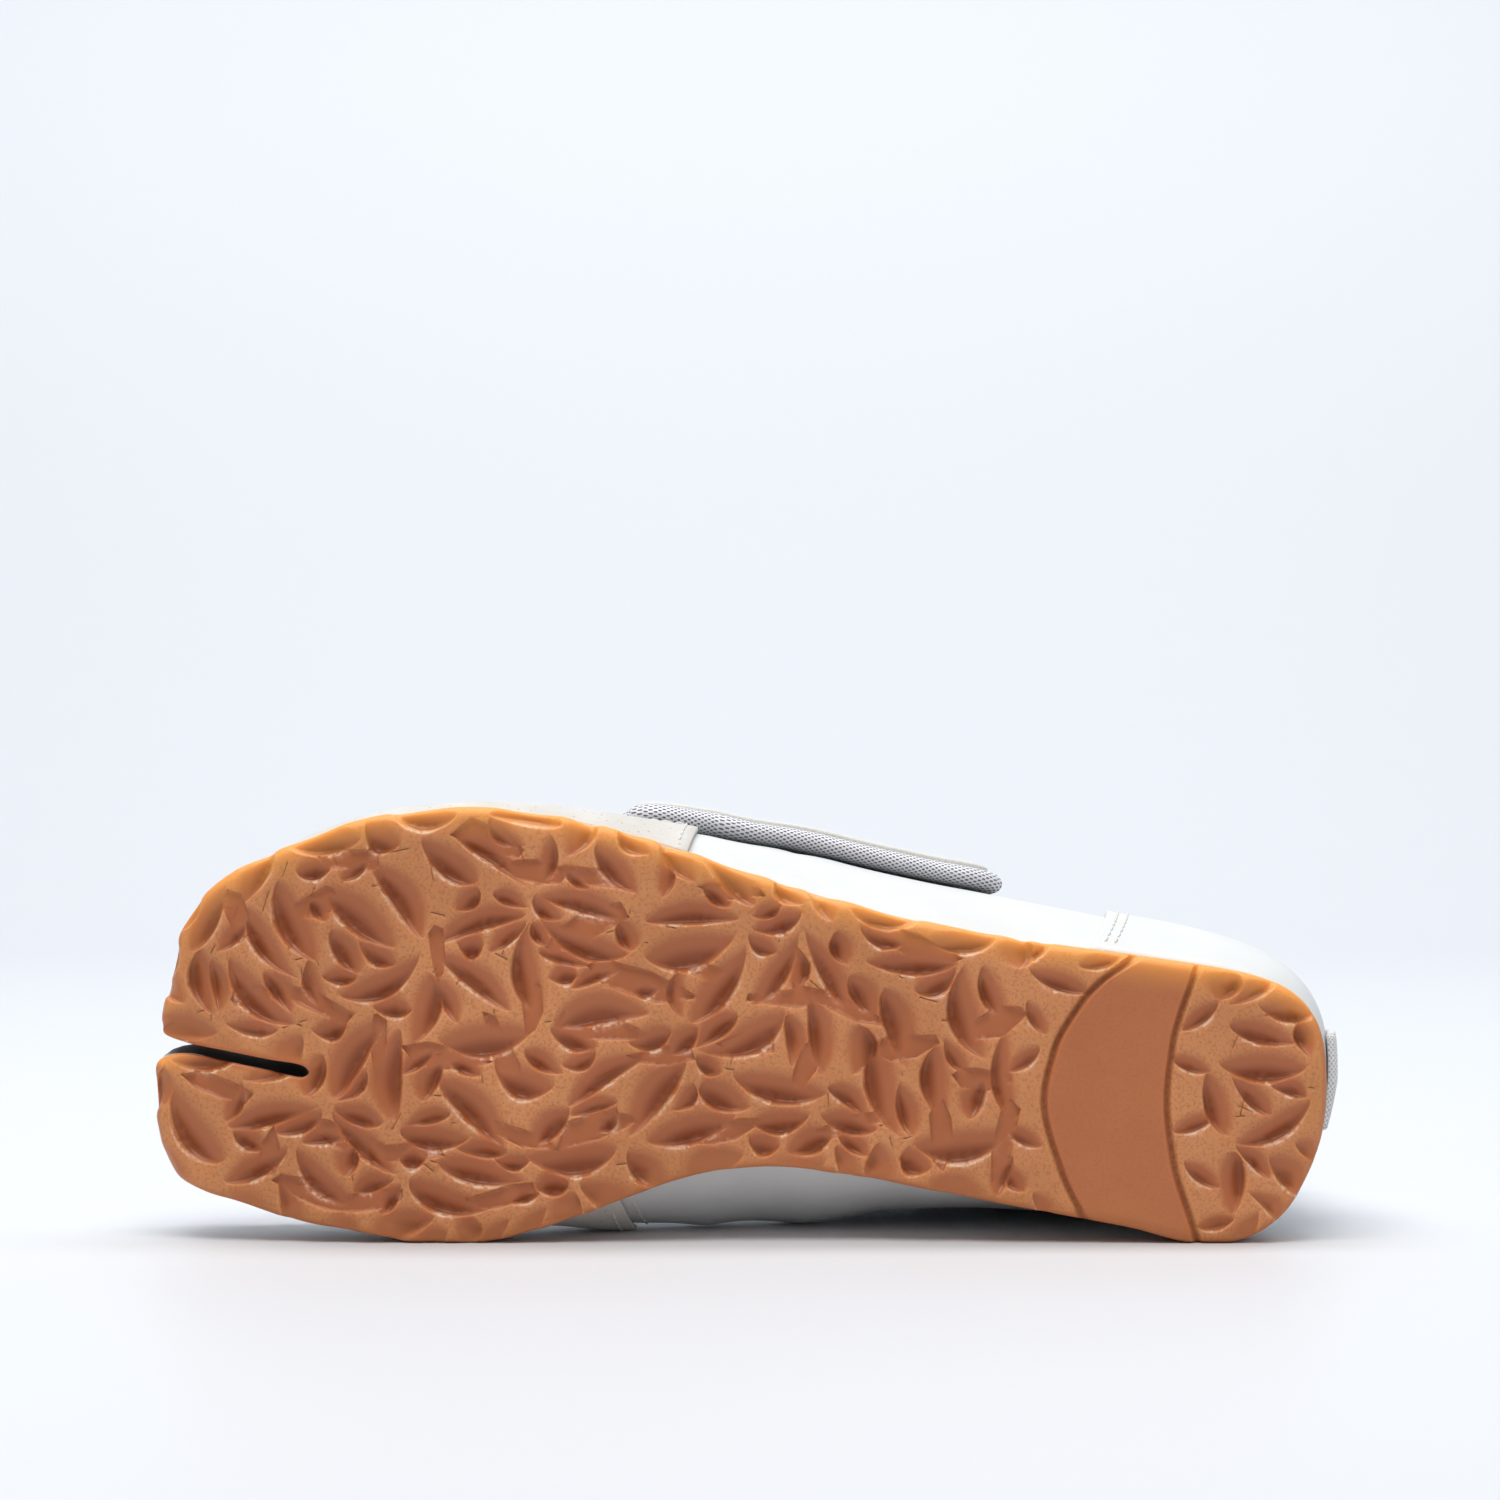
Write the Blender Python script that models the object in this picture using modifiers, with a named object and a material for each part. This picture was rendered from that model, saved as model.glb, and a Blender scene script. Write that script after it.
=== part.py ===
"""Left split-toe high-top sneaker, lying on its inner side with the sole towards -Y.

The shoe is modelled in its own frame: x runs from heel to toe, y from the inner to the outer side and z up
from the ground under the sole.  An empty then lays it on its inner side, on the plane Z = 0.
Tables are in millimetres; meshes are in metres.
"""
import math
import random

import bmesh
import bpy
from mathutils import Vector
from mathutils.geometry import delaunay_2d_cdt

MM = 0.001
NAME = "split_toe_high_top"

# Lying pose: how far the sole leans back, and the point of the shoe that stands over the world origin.
LEAN = math.radians(3.0)
LIE_LENGTH = 127.66
LIE_DEPTH = 64.4

# Sole edge seen from below: one row for each section, heel to toe.
SECTIONS = {
    "columns": ("s", "inner", "outer"),
    "rows": (
        (0.0, 35.0, 35.0),
        (1.2, 24.0, 46.6),
        (4.4, 15.2, 52.7),
        (9.5, 6.9, 56.9),
        (16.0, 2.0, 59.4),
        (23.0, -0.1, 61.0),
        (31.0, -0.1, 62.3),
        (44.0, 3.2, 64.2),
        (64.0, 6.9, 66.9),
        (84.0, 10.6, 70.4),
        (104.0, 14.4, 75.1),
        (126.0, 16.6, 81.6),
        (144.0, 13.9, 87.7),
        (160.0, 8.0, 92.4),
        (174.0, 3.2, 95.5),
        (188.0, -0.1, 96.9),
        (202.0, -0.1, 96.3),
        (216.0, 2.4, 93.9),
        (230.0, 5.0, 88.9),
        (243.0, 8.9, 83.2),
        (250.5, 11.2, 77.6),
    ),
}
BIG_TOE_FRONT = ((256.8, 14.6), (260.0, 20.6), (261.4, 28.0), (261.7, 35.0), (261.0, 40.2))
SMALL_TOES_FRONT = ((260.0, 46.4), (260.8, 50.0), (259.2, 56.0), (257.6, 63.5), (255.4, 70.8))
CLEFT_END = (227.6, 37.85)
CLEFT_MOUTH = (256.5, 43.5)
CLEFT_WIDTH = 2.0

# Sole seen from the side: ground line and upper edge, with heel, arch and toe spring.
SOLE_SIDE = {
    "columns": ("s", "ground", "top"),
    "rows": (
        (0.0, 1.0, 12.4),
        (14.0, 0.0, 12.0),
        (60.0, 0.0, 11.6),
        (110.0, 1.8, 11.0),
        (150.0, 0.2, 9.8),
        (172.0, 0.0, 9.3),
        (205.0, 0.0, 9.2),
        (230.0, 2.2, 11.0),
        (262.0, 8.5, 16.4),
    ),
}
SOLE_LENGTH = 262.0
SOLE_WIDTH = 97.0
SOLE_EDGE_RADIUS = 3.0
SOLE_TOP_GRID = 18.0
TREAD_GRID = 13.0
TREAD_MARGIN = 5.5
GRID_ROW_PITCH = 0.87

# Tread: leaves strewn over the sole, each one scooped out so that it deepens towards the inner side.
LEAF_SEED = 5
LEAF_TRIES = 5000
LEAF_LONGEST = 24.0
LEAF_SHORTEST = 12.0
LEAF_CLEARANCE = 0.9
LEAF_TIP_GAP = 0.945
LEAF_MARGIN = 3.2
LEAF_WIDTHS = (4.8, 7.8)
LEAF_SKEWS = (0.75, 1.35)
LEAF_BEND = 0.13
LEAF_BEND_MEAN = 0.67
LEAF_STEPS = 4
SPINE_STEPS = 10
SCOOP_DEPTH = 2.2
SCOOP_OFFSET = 0.55
SCOOP_LENGTH = 0.30

# Smooth band across the heel, between two plain grooves.
BAND_FRONT = 58.0
BAND_BACK = 30.0
BAND_BOW = 6.0
GROOVE_WIDTH = 2.2
GROOVE_DEPTH = 1.5

# Upper: wall and featherline.
UPPER_WALL = 2.0
FEATHER_INSET = 2.6
FEATHER_GAP = 0.3
MEET_GAP = 0.3

# Walls of the upper, one row per section: p is 0 behind the cleft, 1 at the throat and 2 at the heel's back.
# crest_s, crest_w and crest_u are the ridge of the vamp and then the throat edge and collar.
# bulge and reach are in millimetres; rise, share and drop are parts of the wall's own height and depth.
OUTER_WALL = {
    "columns": ("p", "crest_s", "crest_w", "crest_u", "bulge", "rise", "share", "reach", "drop"),
    "rows": (
        (0.00, 226.0, 62.0, 35.5, 8.5, 0.70, 0.60, 0.0, 0.00),
        (0.50, 184.0, 65.5, 49.0, 10.5, 0.58, 0.62, 2.0, 0.04),
        (1.00, 140.0, 66.0, 65.5, 17.5, 0.47, 0.55, 11.0, 0.10),
        (1.15, 124.0, 67.0, 82.0, 22.5, 0.42, 0.30, 14.0, 0.20),
        (1.30, 109.0, 68.0, 100.0, 24.0, 0.36, 0.10, 11.0, 0.28),
        (1.42, 97.0, 69.0, 114.0, 24.5, 0.33, 0.00, 7.0, 0.34),
        (1.55, 80.0, 70.2, 118.0, 22.5, 0.32, 0.00, 3.0, 0.38),
        (1.70, 54.0, 69.0, 115.5, 20.5, 0.32, 0.00, -2.0, 0.42),
        (1.85, 24.0, 60.0, 111.5, 19.5, 0.32, 0.00, -4.0, 0.44),
        (2.00, 3.0, 36.0, 110.0, 13.0, 0.31, 0.00, -5.0, 0.42),
    ),
}
INNER_WALL = {
    "columns": ("p", "crest_s", "crest_w", "crest_u", "bulge", "rise", "share", "reach", "drop"),
    "rows": (
        (0.00, 226.0, 21.5, 40.0, 0.6, 0.70, 0.60, 0.0, 0.00),
        (0.50, 184.0, 32.5, 52.5, 0.6, 0.58, 0.62, 0.0, 0.04),
        (1.00, 140.0, 38.0, 66.5, 20.0, 0.44, 0.60, 15.0, 0.10),
        (1.15, 124.0, 33.0, 82.0, 25.0, 0.38, 0.30, 18.0, 0.20),
        (1.30, 109.0, 25.0, 100.0, 18.0, 0.32, 0.10, 14.0, 0.24),
        (1.42, 97.0, 15.0, 114.0, 11.0, 0.30, 0.00, 7.0, 0.30),
        (1.55, 80.0, 5.8, 118.0, 4.0, 0.31, 0.00, 1.0, 0.38),
        (1.70, 54.0, 5.8, 115.5, -1.5, 0.32, 0.00, -1.0, 0.42),
        (1.85, 24.0, 13.0, 111.5, 4.0, 0.32, 0.00, -4.0, 0.44),
        (2.00, 3.0, 36.0, 110.0, 13.0, 0.31, 0.00, -5.0, 0.42),
    ),
}
# Middle of the vamp, from the foot of the cleft back to the throat and on under the strap.
CENTRE = {
    "columns": ("p", "s", "w", "u", "steep"),
    "rows": (
        (0.00, 224.0, 37.6, 11.3, 1.00),
        (0.045, 222.8, 38.0, 21.0, 0.94),
        (0.125, 216.0, 39.2, 30.5, 0.75),
        (0.24, 206.0, 41.0, 40.0, 0.45),
        (0.42, 190.0, 44.0, 49.5, 0.12),
        (0.62, 173.0, 48.0, 58.0, 0.00),
        (1.00, 141.0, 52.0, 70.0, 0.00),
        (1.15, 129.0, 50.0, 88.5, 0.00),
        (1.30, 117.5, 46.5, 107.0, 0.00),
        (1.45, 104.0, 41.0, 124.0, 0.00),
    ),
}
# Ridges of the two toe lobes, from their front ends back to the sections behind the cleft.
BIG_TOE_RIDGE = {
    "columns": ("k", "s", "w", "u"),
    "rows": ((0.0, 249.0, 28.0, 36.0), (0.5, 238.5, 24.5, 38.6), (1.0, 226.0, 21.5, 40.0)),
}
SMALL_TOES_RIDGE = {
    "columns": ("k", "s", "w", "u"),
    "rows": ((0.0, 245.5, 58.5, 31.0), (0.5, 236.5, 60.5, 33.6), (1.0, 226.0, 62.0, 35.5)),
}
# Swelling of the lobes into the cleft, from the tips (0) to the foot of the cleft (1).
CLEFT_SWELL = {
    "columns": ("k", "inner", "outer"),
    "rows": ((0.0, 0.0, 0.0), (0.35, 7.6, 0.6), (0.75, 8.0, 0.4), (0.965, 6.0, 0.0), (1.0, 0.0, 0.0)),
}
BIG_TOE_TIP_W = 28.5
SMALL_TOES_TIP_W = 57.5
LOBE_RISE = 0.70
LOBE_SHARE = 0.58
CLEFT_SHARE = 0.50
CREST_SHARE = 0.36
MIDDLE_SHARE = 0.40
VALLEY_RISE = 0.50
VALLEY_OPEN = 0.45

# Levels up the wall and rows along it, shared by the upper and everything laid on it.
LEVELS = (0.0, 0.1, 0.2, 0.3, 0.4, 0.52, 0.66, 0.82, 1.0)
VAMP_ROWS = (0.0, 0.045, 0.125, 0.24, 0.36, 0.48, 0.60, 0.72, 0.84, 0.92, 1.0)
SIDE_ROWS = (1.0, 1.06, 1.12, 1.18, 1.24, 1.30, 1.36, 1.42, 1.48, 1.54, 1.60, 1.66, 1.72)
HEEL_ROWS = (1.72, 1.77, 1.81, 1.85, 1.88, 1.91, 1.94, 1.97, 2.0)
LOBE_ROWS = (0.0, 0.15, 0.30, 0.45, 0.60, 0.75, 0.88, 0.965, 1.0)
CROWN_STEPS = 4

# Overlays.
OVERLAY = 1.4
CAP_OUTER_LOW = 1.00
CAP_INNER_LOW = 0.86
CAP_HIGH = 0.76
CAP_TURN = 0.48
CAP_BEND_LOW = 0.26
CAP_BEND_HIGH = 0.38
VALLEY_ROOM = 0.3
VALLEY_THIN = 0.65
VALLEY_HALF = 4.0
CAP_ROWS = (0.0, 0.045, 0.125, 0.24, 0.36, 0.48, 0.60, 0.72, 0.84, 1.0)
CAP_FOOT = 0.02
COUNTER_LOW = 1.57
COUNTER_HIGH = 1.67
COUNTER_TOP = 0.44
COUNTER_BACK_TOP = 0.52

# Strap: padded lining with a leather cover.
STRAP_FRONT = 0.81
STRAP_BACK = 1.42
STRAP_END = 0.40
STRAP_HINGE = 0.80
STRAP_CORNER = 0.08
STRAP_ROUND = 0.09
STRAP_FLARE = 0.36
PAD_CLEAR = 0.3
PAD_THICK = 4.6
COVER_THICK = 1.4

# Heel tab and insole.
TAB_THICK = 2.0
TAB_STEP_TOP = 9.0
TAB_STEP = 7.0
INSOLE_THICK = 4.0
INSOLE_GAP = 1.6
INSOLE_SETBACK = 8.0

COLOURS = {
    "gum_rubber": ((0.42, 0.17, 0.07), 0.5),
    "white_leather": ((0.82, 0.83, 0.82), 0.45),
    "sand_suede": ((0.66, 0.58, 0.47), 0.9),
    "grey_mesh": ((0.38, 0.37, 0.38), 0.9),
    "grey_webbing": ((0.6, 0.6, 0.61), 0.8),
}


def row_at(table, key):
    """Every column of a table at one key, smoothly between its rows and without overshoot."""
    rows = table["rows"]
    keys = [row[0] for row in rows]
    key = min(max(key, keys[0]), keys[-1])
    i = 0
    while i < len(rows) - 2 and key > keys[i + 1]:
        i += 1
    found = {table["columns"][0]: key}
    for c in range(1, len(table["columns"])):
        slopes = [(rows[j + 1][c] - rows[j][c]) / (keys[j + 1] - keys[j]) for j in range(len(rows) - 1)]
        ends = []
        for j in (i, i + 1):
            if j == 0:
                ends.append(slopes[0])
            elif j == len(rows) - 1:
                ends.append(slopes[-1])
            elif slopes[j - 1] * slopes[j] <= 0:
                ends.append(0.0)
            else:
                ends.append(2 * slopes[j - 1] * slopes[j] / (slopes[j - 1] + slopes[j]))
        span = keys[i + 1] - keys[i]
        t = (key - keys[i]) / span
        found[table["columns"][c]] = (
            rows[i][c] * (1 + 2 * t) * (1 - t) ** 2
            + ends[0] * span * t * (1 - t) ** 2
            + rows[i + 1][c] * t * t * (3 - 2 * t)
            - ends[1] * span * t * t * (1 - t)
        )
    return found


def rim_corners(setback=0.0):
    """Corner points of the sole edge: along the cleft, round the small toes, the heel and the big toe."""
    start = Vector(CLEFT_END) - Vector((setback, 0.0))
    along = Vector(CLEFT_MOUTH) - start
    across = Vector((-along.y, along.x)).normalized() * CLEFT_WIDTH / 2
    points = [start - along.normalized() * CLEFT_WIDTH / 2]
    points += [start + along * share + across for share in (0.0, 0.3, 0.65, 0.94)]
    points += [Vector(point) for point in SMALL_TOES_FRONT]
    points += [Vector((s, outer)) for s, inner, outer in reversed(SECTIONS["rows"])]
    points += [Vector((s, inner)) for s, inner, outer in SECTIONS["rows"][1:]]
    points += [Vector(point) for point in BIG_TOE_FRONT]
    points += [start + along * share - across for share in (0.94, 0.65, 0.3, 0.0)]
    return points


def smooth_loop(points, steps):
    """Closed curve through the points, with even speed; it never passes below the floor line."""
    loop = []
    count = len(points)
    for i in range(count):
        a, b, c, d = (points[(i + j) % count] for j in (-1, 0, 1, 2))
        ta = (b - a).length ** 0.5
        tb = (c - b).length ** 0.5
        tc = (d - c).length ** 0.5
        out = (c - b) + ((b - a) / ta - (c - a) / (ta + tb)) * tb
        into = (c - b) + ((d - c) / tc - (d - b) / (tb + tc)) * tb
        for j in range(steps):
            t = j / steps
            point = (
                b * (1 + 2 * t) * (1 - t) ** 2 + out * t * (1 - t) ** 2
                + c * t * t * (3 - 2 * t) - into * t * t * (1 - t)
            )
            loop.append(Vector((point.x, max(point.y, 0.0))))
    return loop


class Rim:
    """The sole edge as a loop measured along its length, from the foot of the cleft."""

    def __init__(self, steps, setback=0.0):
        self.points = smooth_loop(rim_corners(setback), steps)
        self.reach = [0.0]
        for a, b in zip(self.points, self.points[1:] + self.points[:1]):
            self.reach.append(self.reach[-1] + (b - a).length)
        self.total = self.reach[-1]

    def at(self, length):
        """Point at a length along the rim."""
        length = min(max(length, 0.0), self.total)
        low, high = 0, len(self.points)
        while high - low > 1:
            middle = (low + high) // 2
            if self.reach[middle] <= length:
                low = middle
            else:
                high = middle
        a = self.points[low % len(self.points)]
        b = self.points[(low + 1) % len(self.points)]
        share = (length - self.reach[low]) / max(self.reach[low + 1] - self.reach[low], 1e-9)
        return a.lerp(b, share)

    def outward(self, length):
        """Outward direction, taken over a few millimetres so that the corners stay round."""
        if length < 1.5 or length > self.total - 1.5:
            return Vector((1.0, 0.0))
        step = self.at(length + 1.5) - self.at(length - 1.5)
        return Vector((step.y, -step.x)).normalized()

    def where(self, axis, value, start, end):
        """First length between start and end where one coordinate passes a value."""
        count = 2000
        before = self.at(start)[axis] - value
        for i in range(1, count + 1):
            length = start + (end - start) * i / count
            now = self.at(length)[axis] - value
            if before * now <= 0:
                return length
            before = now
        return end


RIM = Rim(10)
HEEL = RIM.where(0, 0.4, 0.2 * RIM.total, 0.8 * RIM.total)
HEEL = 0.5 * (HEEL + RIM.where(0, 0.4, HEEL + 1.0, 0.8 * RIM.total))
SMALL_TIP = RIM.where(1, SMALL_TOES_TIP_W, 30.0, 80.0)
BIG_TIP = RIM.where(1, BIG_TOE_TIP_W, RIM.total - 80.0, RIM.total - 30.0)
SIDE_LENGTHS = {
    "outer": (RIM.where(0, 226.0, SMALL_TIP, HEEL), RIM.where(0, 140.0, SMALL_TIP, HEEL), HEEL),
    "inner": (RIM.where(0, 226.0, BIG_TIP, HEEL), RIM.where(0, 140.0, BIG_TIP, HEEL), HEEL),
}
WALLS = {"outer": OUTER_WALL, "inner": INNER_WALL}


def feather(length):
    """Foot of the upper at a length along the rim, and its outward direction."""
    out = RIM.outward(length)
    foot = RIM.at(length) - out * FEATHER_INSET
    height = row_at(SOLE_SIDE, foot.x)["top"] + FEATHER_GAP
    place = Vector((foot.x, foot.y, height))
    if length <= 0.0 or length >= RIM.total:
        place = Vector(CENTRE["rows"][0][1:4])
    return place, Vector((out.x, out.y, 0.0))


def bezier(a, b, c, d, t):
    """Point of a cubic curve."""
    return a * (1 - t) ** 3 + b * 3 * t * (1 - t) ** 2 + c * 3 * t * t * (1 - t) + d * t ** 3


def on_floor(point):
    """Keeps a point of the skin above the floor the shoe lies on, which leaves its resting flat."""
    return Vector((point.x, max(point.y, point.z * math.tan(LEAN)), point.z))


def wall_frame(side, p):
    """The four control points of a wall of the upper at position p."""
    lengths = SIDE_LENGTHS[side]
    i = 0 if p < 1 else 1
    length = lengths[i] + (lengths[i + 1] - lengths[i]) * (p - i)
    foot, out = feather(length)
    row = row_at(WALLS[side], p)
    crest = Vector((row["crest_s"], row["crest_w"], row["crest_u"]))
    height = crest.z - foot.z
    depth = Vector((foot.x - crest.x, foot.y - crest.y, 0.0))
    shoulder = foot + out * row["bulge"] + Vector((0, 0, height * row["rise"]))
    over = crest + depth * row["share"] + out * row["reach"] - Vector((0, 0, height * row["drop"]))
    return foot, shoulder, over, crest


def wall(side, p, t):
    """Point of the upper's wall, t running from the featherline to the crest."""
    return on_floor(bezier(*wall_frame(side, p), t))


def crown(side, p, v):
    """Point between the crest of one side (v = 0) and the middle of the vamp (v = 1)."""
    foot, shoulder, over, crest = wall_frame(side, p)
    row = row_at(CENTRE, p)
    middle = Vector((row["s"], row["w"], row["u"]))
    steep = row["steep"]
    across = Vector((crest.x - middle.x, crest.y - middle.y, 0.0))
    height = crest.z - middle.z
    span = (crest - middle).length
    onward = (crest - over).normalized()
    rising = Vector((0, 0, height * VALLEY_RISE)) * steep
    rising += across * (VALLEY_OPEN * steep + MIDDLE_SHARE * (1 - steep))
    turning = across * -CLEFT_SHARE * steep + onward * CREST_SHARE * span * (1 - steep)
    return bezier(crest, crest + turning, middle + rising, middle, v)


def lobe(side, k):
    """Meridian of a toe lobe: k from -1 on the cleft, through 0 at the tip, to 1 on the shoe's side."""
    tip = SMALL_TIP if side == "outer" else BIG_TIP
    home = SIDE_LENGTHS[side][0]
    cleft = 0.0 if side == "outer" else RIM.total
    length = tip + (home - tip) * k if k > 0 else tip + (cleft - tip) * -k
    foot, out = feather(length)
    ridge = row_at(SMALL_TOES_RIDGE if side == "outer" else BIG_TOE_RIDGE, abs(k))
    crest = Vector((ridge["s"], ridge["w"], ridge["u"]))
    height = crest.z - foot.z
    depth = Vector((foot.x - crest.x, foot.y - crest.y, 0.0))
    home_row = row_at(WALLS[side], 0.0)
    side_share = max(k, 0.0)
    cleft_share = max(-k, 0.0)
    bulge = home_row["bulge"] * side_share + row_at(CLEFT_SWELL, cleft_share)[side]
    share = LOBE_SHARE + (home_row["share"] - LOBE_SHARE) * side_share
    share += (CLEFT_SHARE - LOBE_SHARE) * cleft_share
    shoulder = foot + out * bulge + Vector((0, 0, height * LOBE_RISE))
    if k <= -1.0:
        shoulder = foot - depth * VALLEY_OPEN + Vector((0, 0, height * VALLEY_RISE))
    return foot, shoulder, crest + depth * share, crest


def steps(count, start=0.0, end=1.0):
    """Even steps from start to end."""
    return [start + (end - start) * i / count for i in range(count + 1)]


def round_lobe():
    """Rows round a toe lobe, from the cleft over the tip to the side."""
    return [-k for k in reversed(LOBE_ROWS)] + list(LOBE_ROWS[1:])


def skin_patches():
    """Patches of points over the whole upper: toe lobes, vamp sides, vamp middle and quarters."""
    patches = []
    for side, turn in (("outer", 1), ("inner", -1)):
        toe = [[bezier(*lobe(side, k), t) for t in LEVELS] for k in round_lobe()]
        sides = [[wall(side, p, t) for t in LEVELS] for p in VAMP_ROWS]
        middle = [[crown(side, p, 1 - t) for t in reversed(LEVELS)] for p in VAMP_ROWS]
        quarter = [[wall(side, p, t) for t in LEVELS] for p in SIDE_ROWS + HEEL_ROWS[1:]]
        patches += [(toe, turn), (sides, turn), (middle, turn), (quarter, turn)]
    return patches


def cap_row(side, p, t):
    """Row of the toe cap: it follows the upper's rows, then runs out to the cap's back edge."""
    low = CAP_OUTER_LOW if side == "outer" else CAP_INNER_LOW
    share = min(max((t - CAP_BEND_LOW) / (CAP_BEND_HIGH - CAP_BEND_LOW), 0.0), 1.0)
    edge = low + (CAP_HIGH - low) * share * share * (3 - 2 * share)
    return p if p <= CAP_TURN else CAP_TURN + (p - CAP_TURN) / (1 - CAP_TURN) * (edge - CAP_TURN)


def cap_patches():
    """Toe cap: both toe lobes and the front of the vamp, stopping just above the featherline."""
    levels = (CAP_FOOT,) + LEVELS[1:]
    patches = []
    for side, turn in (("outer", 1), ("inner", -1)):
        toe = [[bezier(*lobe(side, k), t) for t in levels] for k in round_lobe()]
        sides = [[wall(side, cap_row(side, p, t), t) for t in levels] for p in CAP_ROWS]
        middle = []
        for p in CAP_ROWS:
            downs = reversed(LEVELS if p > 0 else levels)
            middle.append([crown(side, cap_row(side, p, 1.0), 1 - t) for t in downs])
        patches += [(toe, turn), (sides, turn), (middle, turn)]
    return patches


def counter_patches():
    """Heel counter: both sides of the heel from the featherline to a top edge that rises at the back."""
    levels = (CAP_FOOT,) + LEVELS[1:5]
    patches = []
    for side, turn in (("outer", 1), ("inner", -1)):
        grid = []
        for i in range(4 + len(HEEL_ROWS)):
            row = []
            for level, t in enumerate(levels + (1.0,)):
                start = COUNTER_LOW + (COUNTER_HIGH - COUNTER_LOW) * level / len(levels)
                p = start + (HEEL_ROWS[0] - start) * i / 4 if i < 4 else HEEL_ROWS[i - 4]
                rise = ((p - COUNTER_LOW) / (2.0 - COUNTER_LOW)) ** 2
                top = COUNTER_TOP + (COUNTER_BACK_TOP - COUNTER_TOP) * rise
                row.append(wall(side, p, min(t, top)))
            grid.append(row)
        patches.append((grid, turn))
    return patches


def strap_patches():
    """Strap: from its free end on the outer side, over the throat, to its hinge on the inner side."""
    grid = []
    for p in (STRAP_FRONT,) + VAMP_ROWS[9:] + SIDE_ROWS[1:8]:
        room = min(p - STRAP_FRONT, STRAP_BACK - p) / STRAP_CORNER
        corner = 1 - math.sqrt(1 - (1 - min(max(room, 0.0), 1.0)) ** 2)
        levels = (STRAP_END + STRAP_ROUND * corner,) + LEVELS[5:]
        row = [wall("outer", p + max(p - 1, 0.0) * STRAP_FLARE * (1 - t), t) for t in levels]
        row += [crown("outer", p, v) for v in steps(CROWN_STEPS)[1:]]
        row += [crown("inner", p, v) for v in reversed(steps(CROWN_STEPS)[:-1])]
        row += [wall("inner", p, t) for t in (0.91, STRAP_HINGE)]
        grid.append(row)
    return [(grid, 1)]


def tab_patches():
    """Heel tab: a strip up the back seam."""
    grid = []
    for side, p in [("outer", p) for p in HEEL_ROWS[-3:]] + [("inner", p) for p in HEEL_ROWS[-2:-4:-1]]:
        grid.append([wall(side, p, t) for t in LEVELS[1:]])
    return [(grid, 1)]


def sheet(patches):
    """Open mesh of patches, welded along their shared edges, with its faces turned outward."""
    mesh = bmesh.new()
    for grid, turn in patches:
        verts = [[mesh.verts.new(point * MM) for point in row] for row in grid]
        for i in range(len(verts) - 1):
            for j in range(len(verts[0]) - 1):
                face = [verts[i][j], verts[i + 1][j], verts[i + 1][j + 1], verts[i][j + 1]]
                mesh.faces.new(face if turn > 0 else face[::-1])
    bmesh.ops.remove_doubles(mesh, verts=mesh.verts[:], dist=0.02 * MM)
    bmesh.ops.dissolve_degenerate(mesh, edges=mesh.edges[:], dist=0.02 * MM)
    mesh.normal_update()
    return mesh


def lift(mesh, distance):
    """Moves a sheet off the skin along its own normals; distance may depend on the point."""
    moved = [vert.co + vert.normal * distance(vert.co / MM) * MM for vert in mesh.verts]
    for vert, place in zip(mesh.verts, moved):
        vert.co = place


def material(slot):
    """Principled material of one slot."""
    found = bpy.data.materials.get(slot)
    if found:
        return found
    colour, roughness = COLOURS[slot]
    found = bpy.data.materials.new(slot)
    found.use_nodes = True
    shader = found.node_tree.nodes["Principled BSDF"]
    shader.inputs["Base Color"].default_value = (*colour, 1.0)
    shader.inputs["Roughness"].default_value = roughness
    found.diffuse_color = (*colour, 1.0)
    return found


def add(name, mesh, slot):
    """Object of a mesh, in the shoe's collection and laid down with the shoe."""
    data = bpy.data.meshes.new(name)
    mesh.to_mesh(data)
    mesh.free()
    data.materials.append(material(slot))
    made = bpy.data.objects.new(name, data)
    SHOE.objects.link(made)
    made.parent = LYING
    return made


def shell(name, mesh, slot, thickness, outward, share=None):
    """Solid shell of an open sheet; a share of the thickness may depend on the point."""
    made = add(name, mesh, slot)
    solid = made.modifiers.new("wall", "SOLIDIFY")
    solid.thickness = thickness * MM
    solid.offset = 1.0 if outward else -1.0
    solid.use_even_offset = True
    solid.use_quality_normals = True
    solid.thickness_clamp = 1.0
    if share:
        group = made.vertex_groups.new(name="thickness")
        for vert in made.data.vertices:
            group.add([vert.index], share(vert.co / MM), "REPLACE")
        solid.vertex_group = group.name
    return made


def inset(loop, distance):
    """Loop moved inward by a distance; points that would come nearer to another part of it are left out."""
    count = len(loop)
    kept = []
    for i, point in enumerate(loop):
        step = loop[(i + 1) % count] - loop[i - 1]
        place = point + Vector((-step.y, step.x)).normalized() * distance
        if min((place - other).length for other in loop) > distance * 0.985 - 0.02:
            kept.append(place)
    return kept


def inside(point, loop):
    """Whether a plan point lies inside a loop."""
    found = False
    for a, b in zip(loop, loop[1:] + loop[:1]):
        if (a.y > point.y) != (b.y > point.y):
            if point.x < a.x + (b.x - a.x) * (point.y - a.y) / (b.y - a.y):
                found = not found
    return found


def clear_grid(loop, pitch, margin, forms):
    """Staggered grid of plan points inside a loop and clear of its edge and of other forms."""
    points = []
    row = 0
    s = pitch / 2
    while s < SOLE_LENGTH:
        w = pitch / 2 * (row % 2)
        while w < SOLE_WIDTH:
            point = Vector((s, w))
            if inside(point, loop) and min((point - edge).length for edge in loop) > margin:
                if all(not inside(point, form) and min((point - q).length for q in form) > margin / 3
                       for form in forms):
                    points.append(point)
            w += pitch
        s += pitch * GRID_ROW_PITCH
        row += 1
    return points


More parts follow.
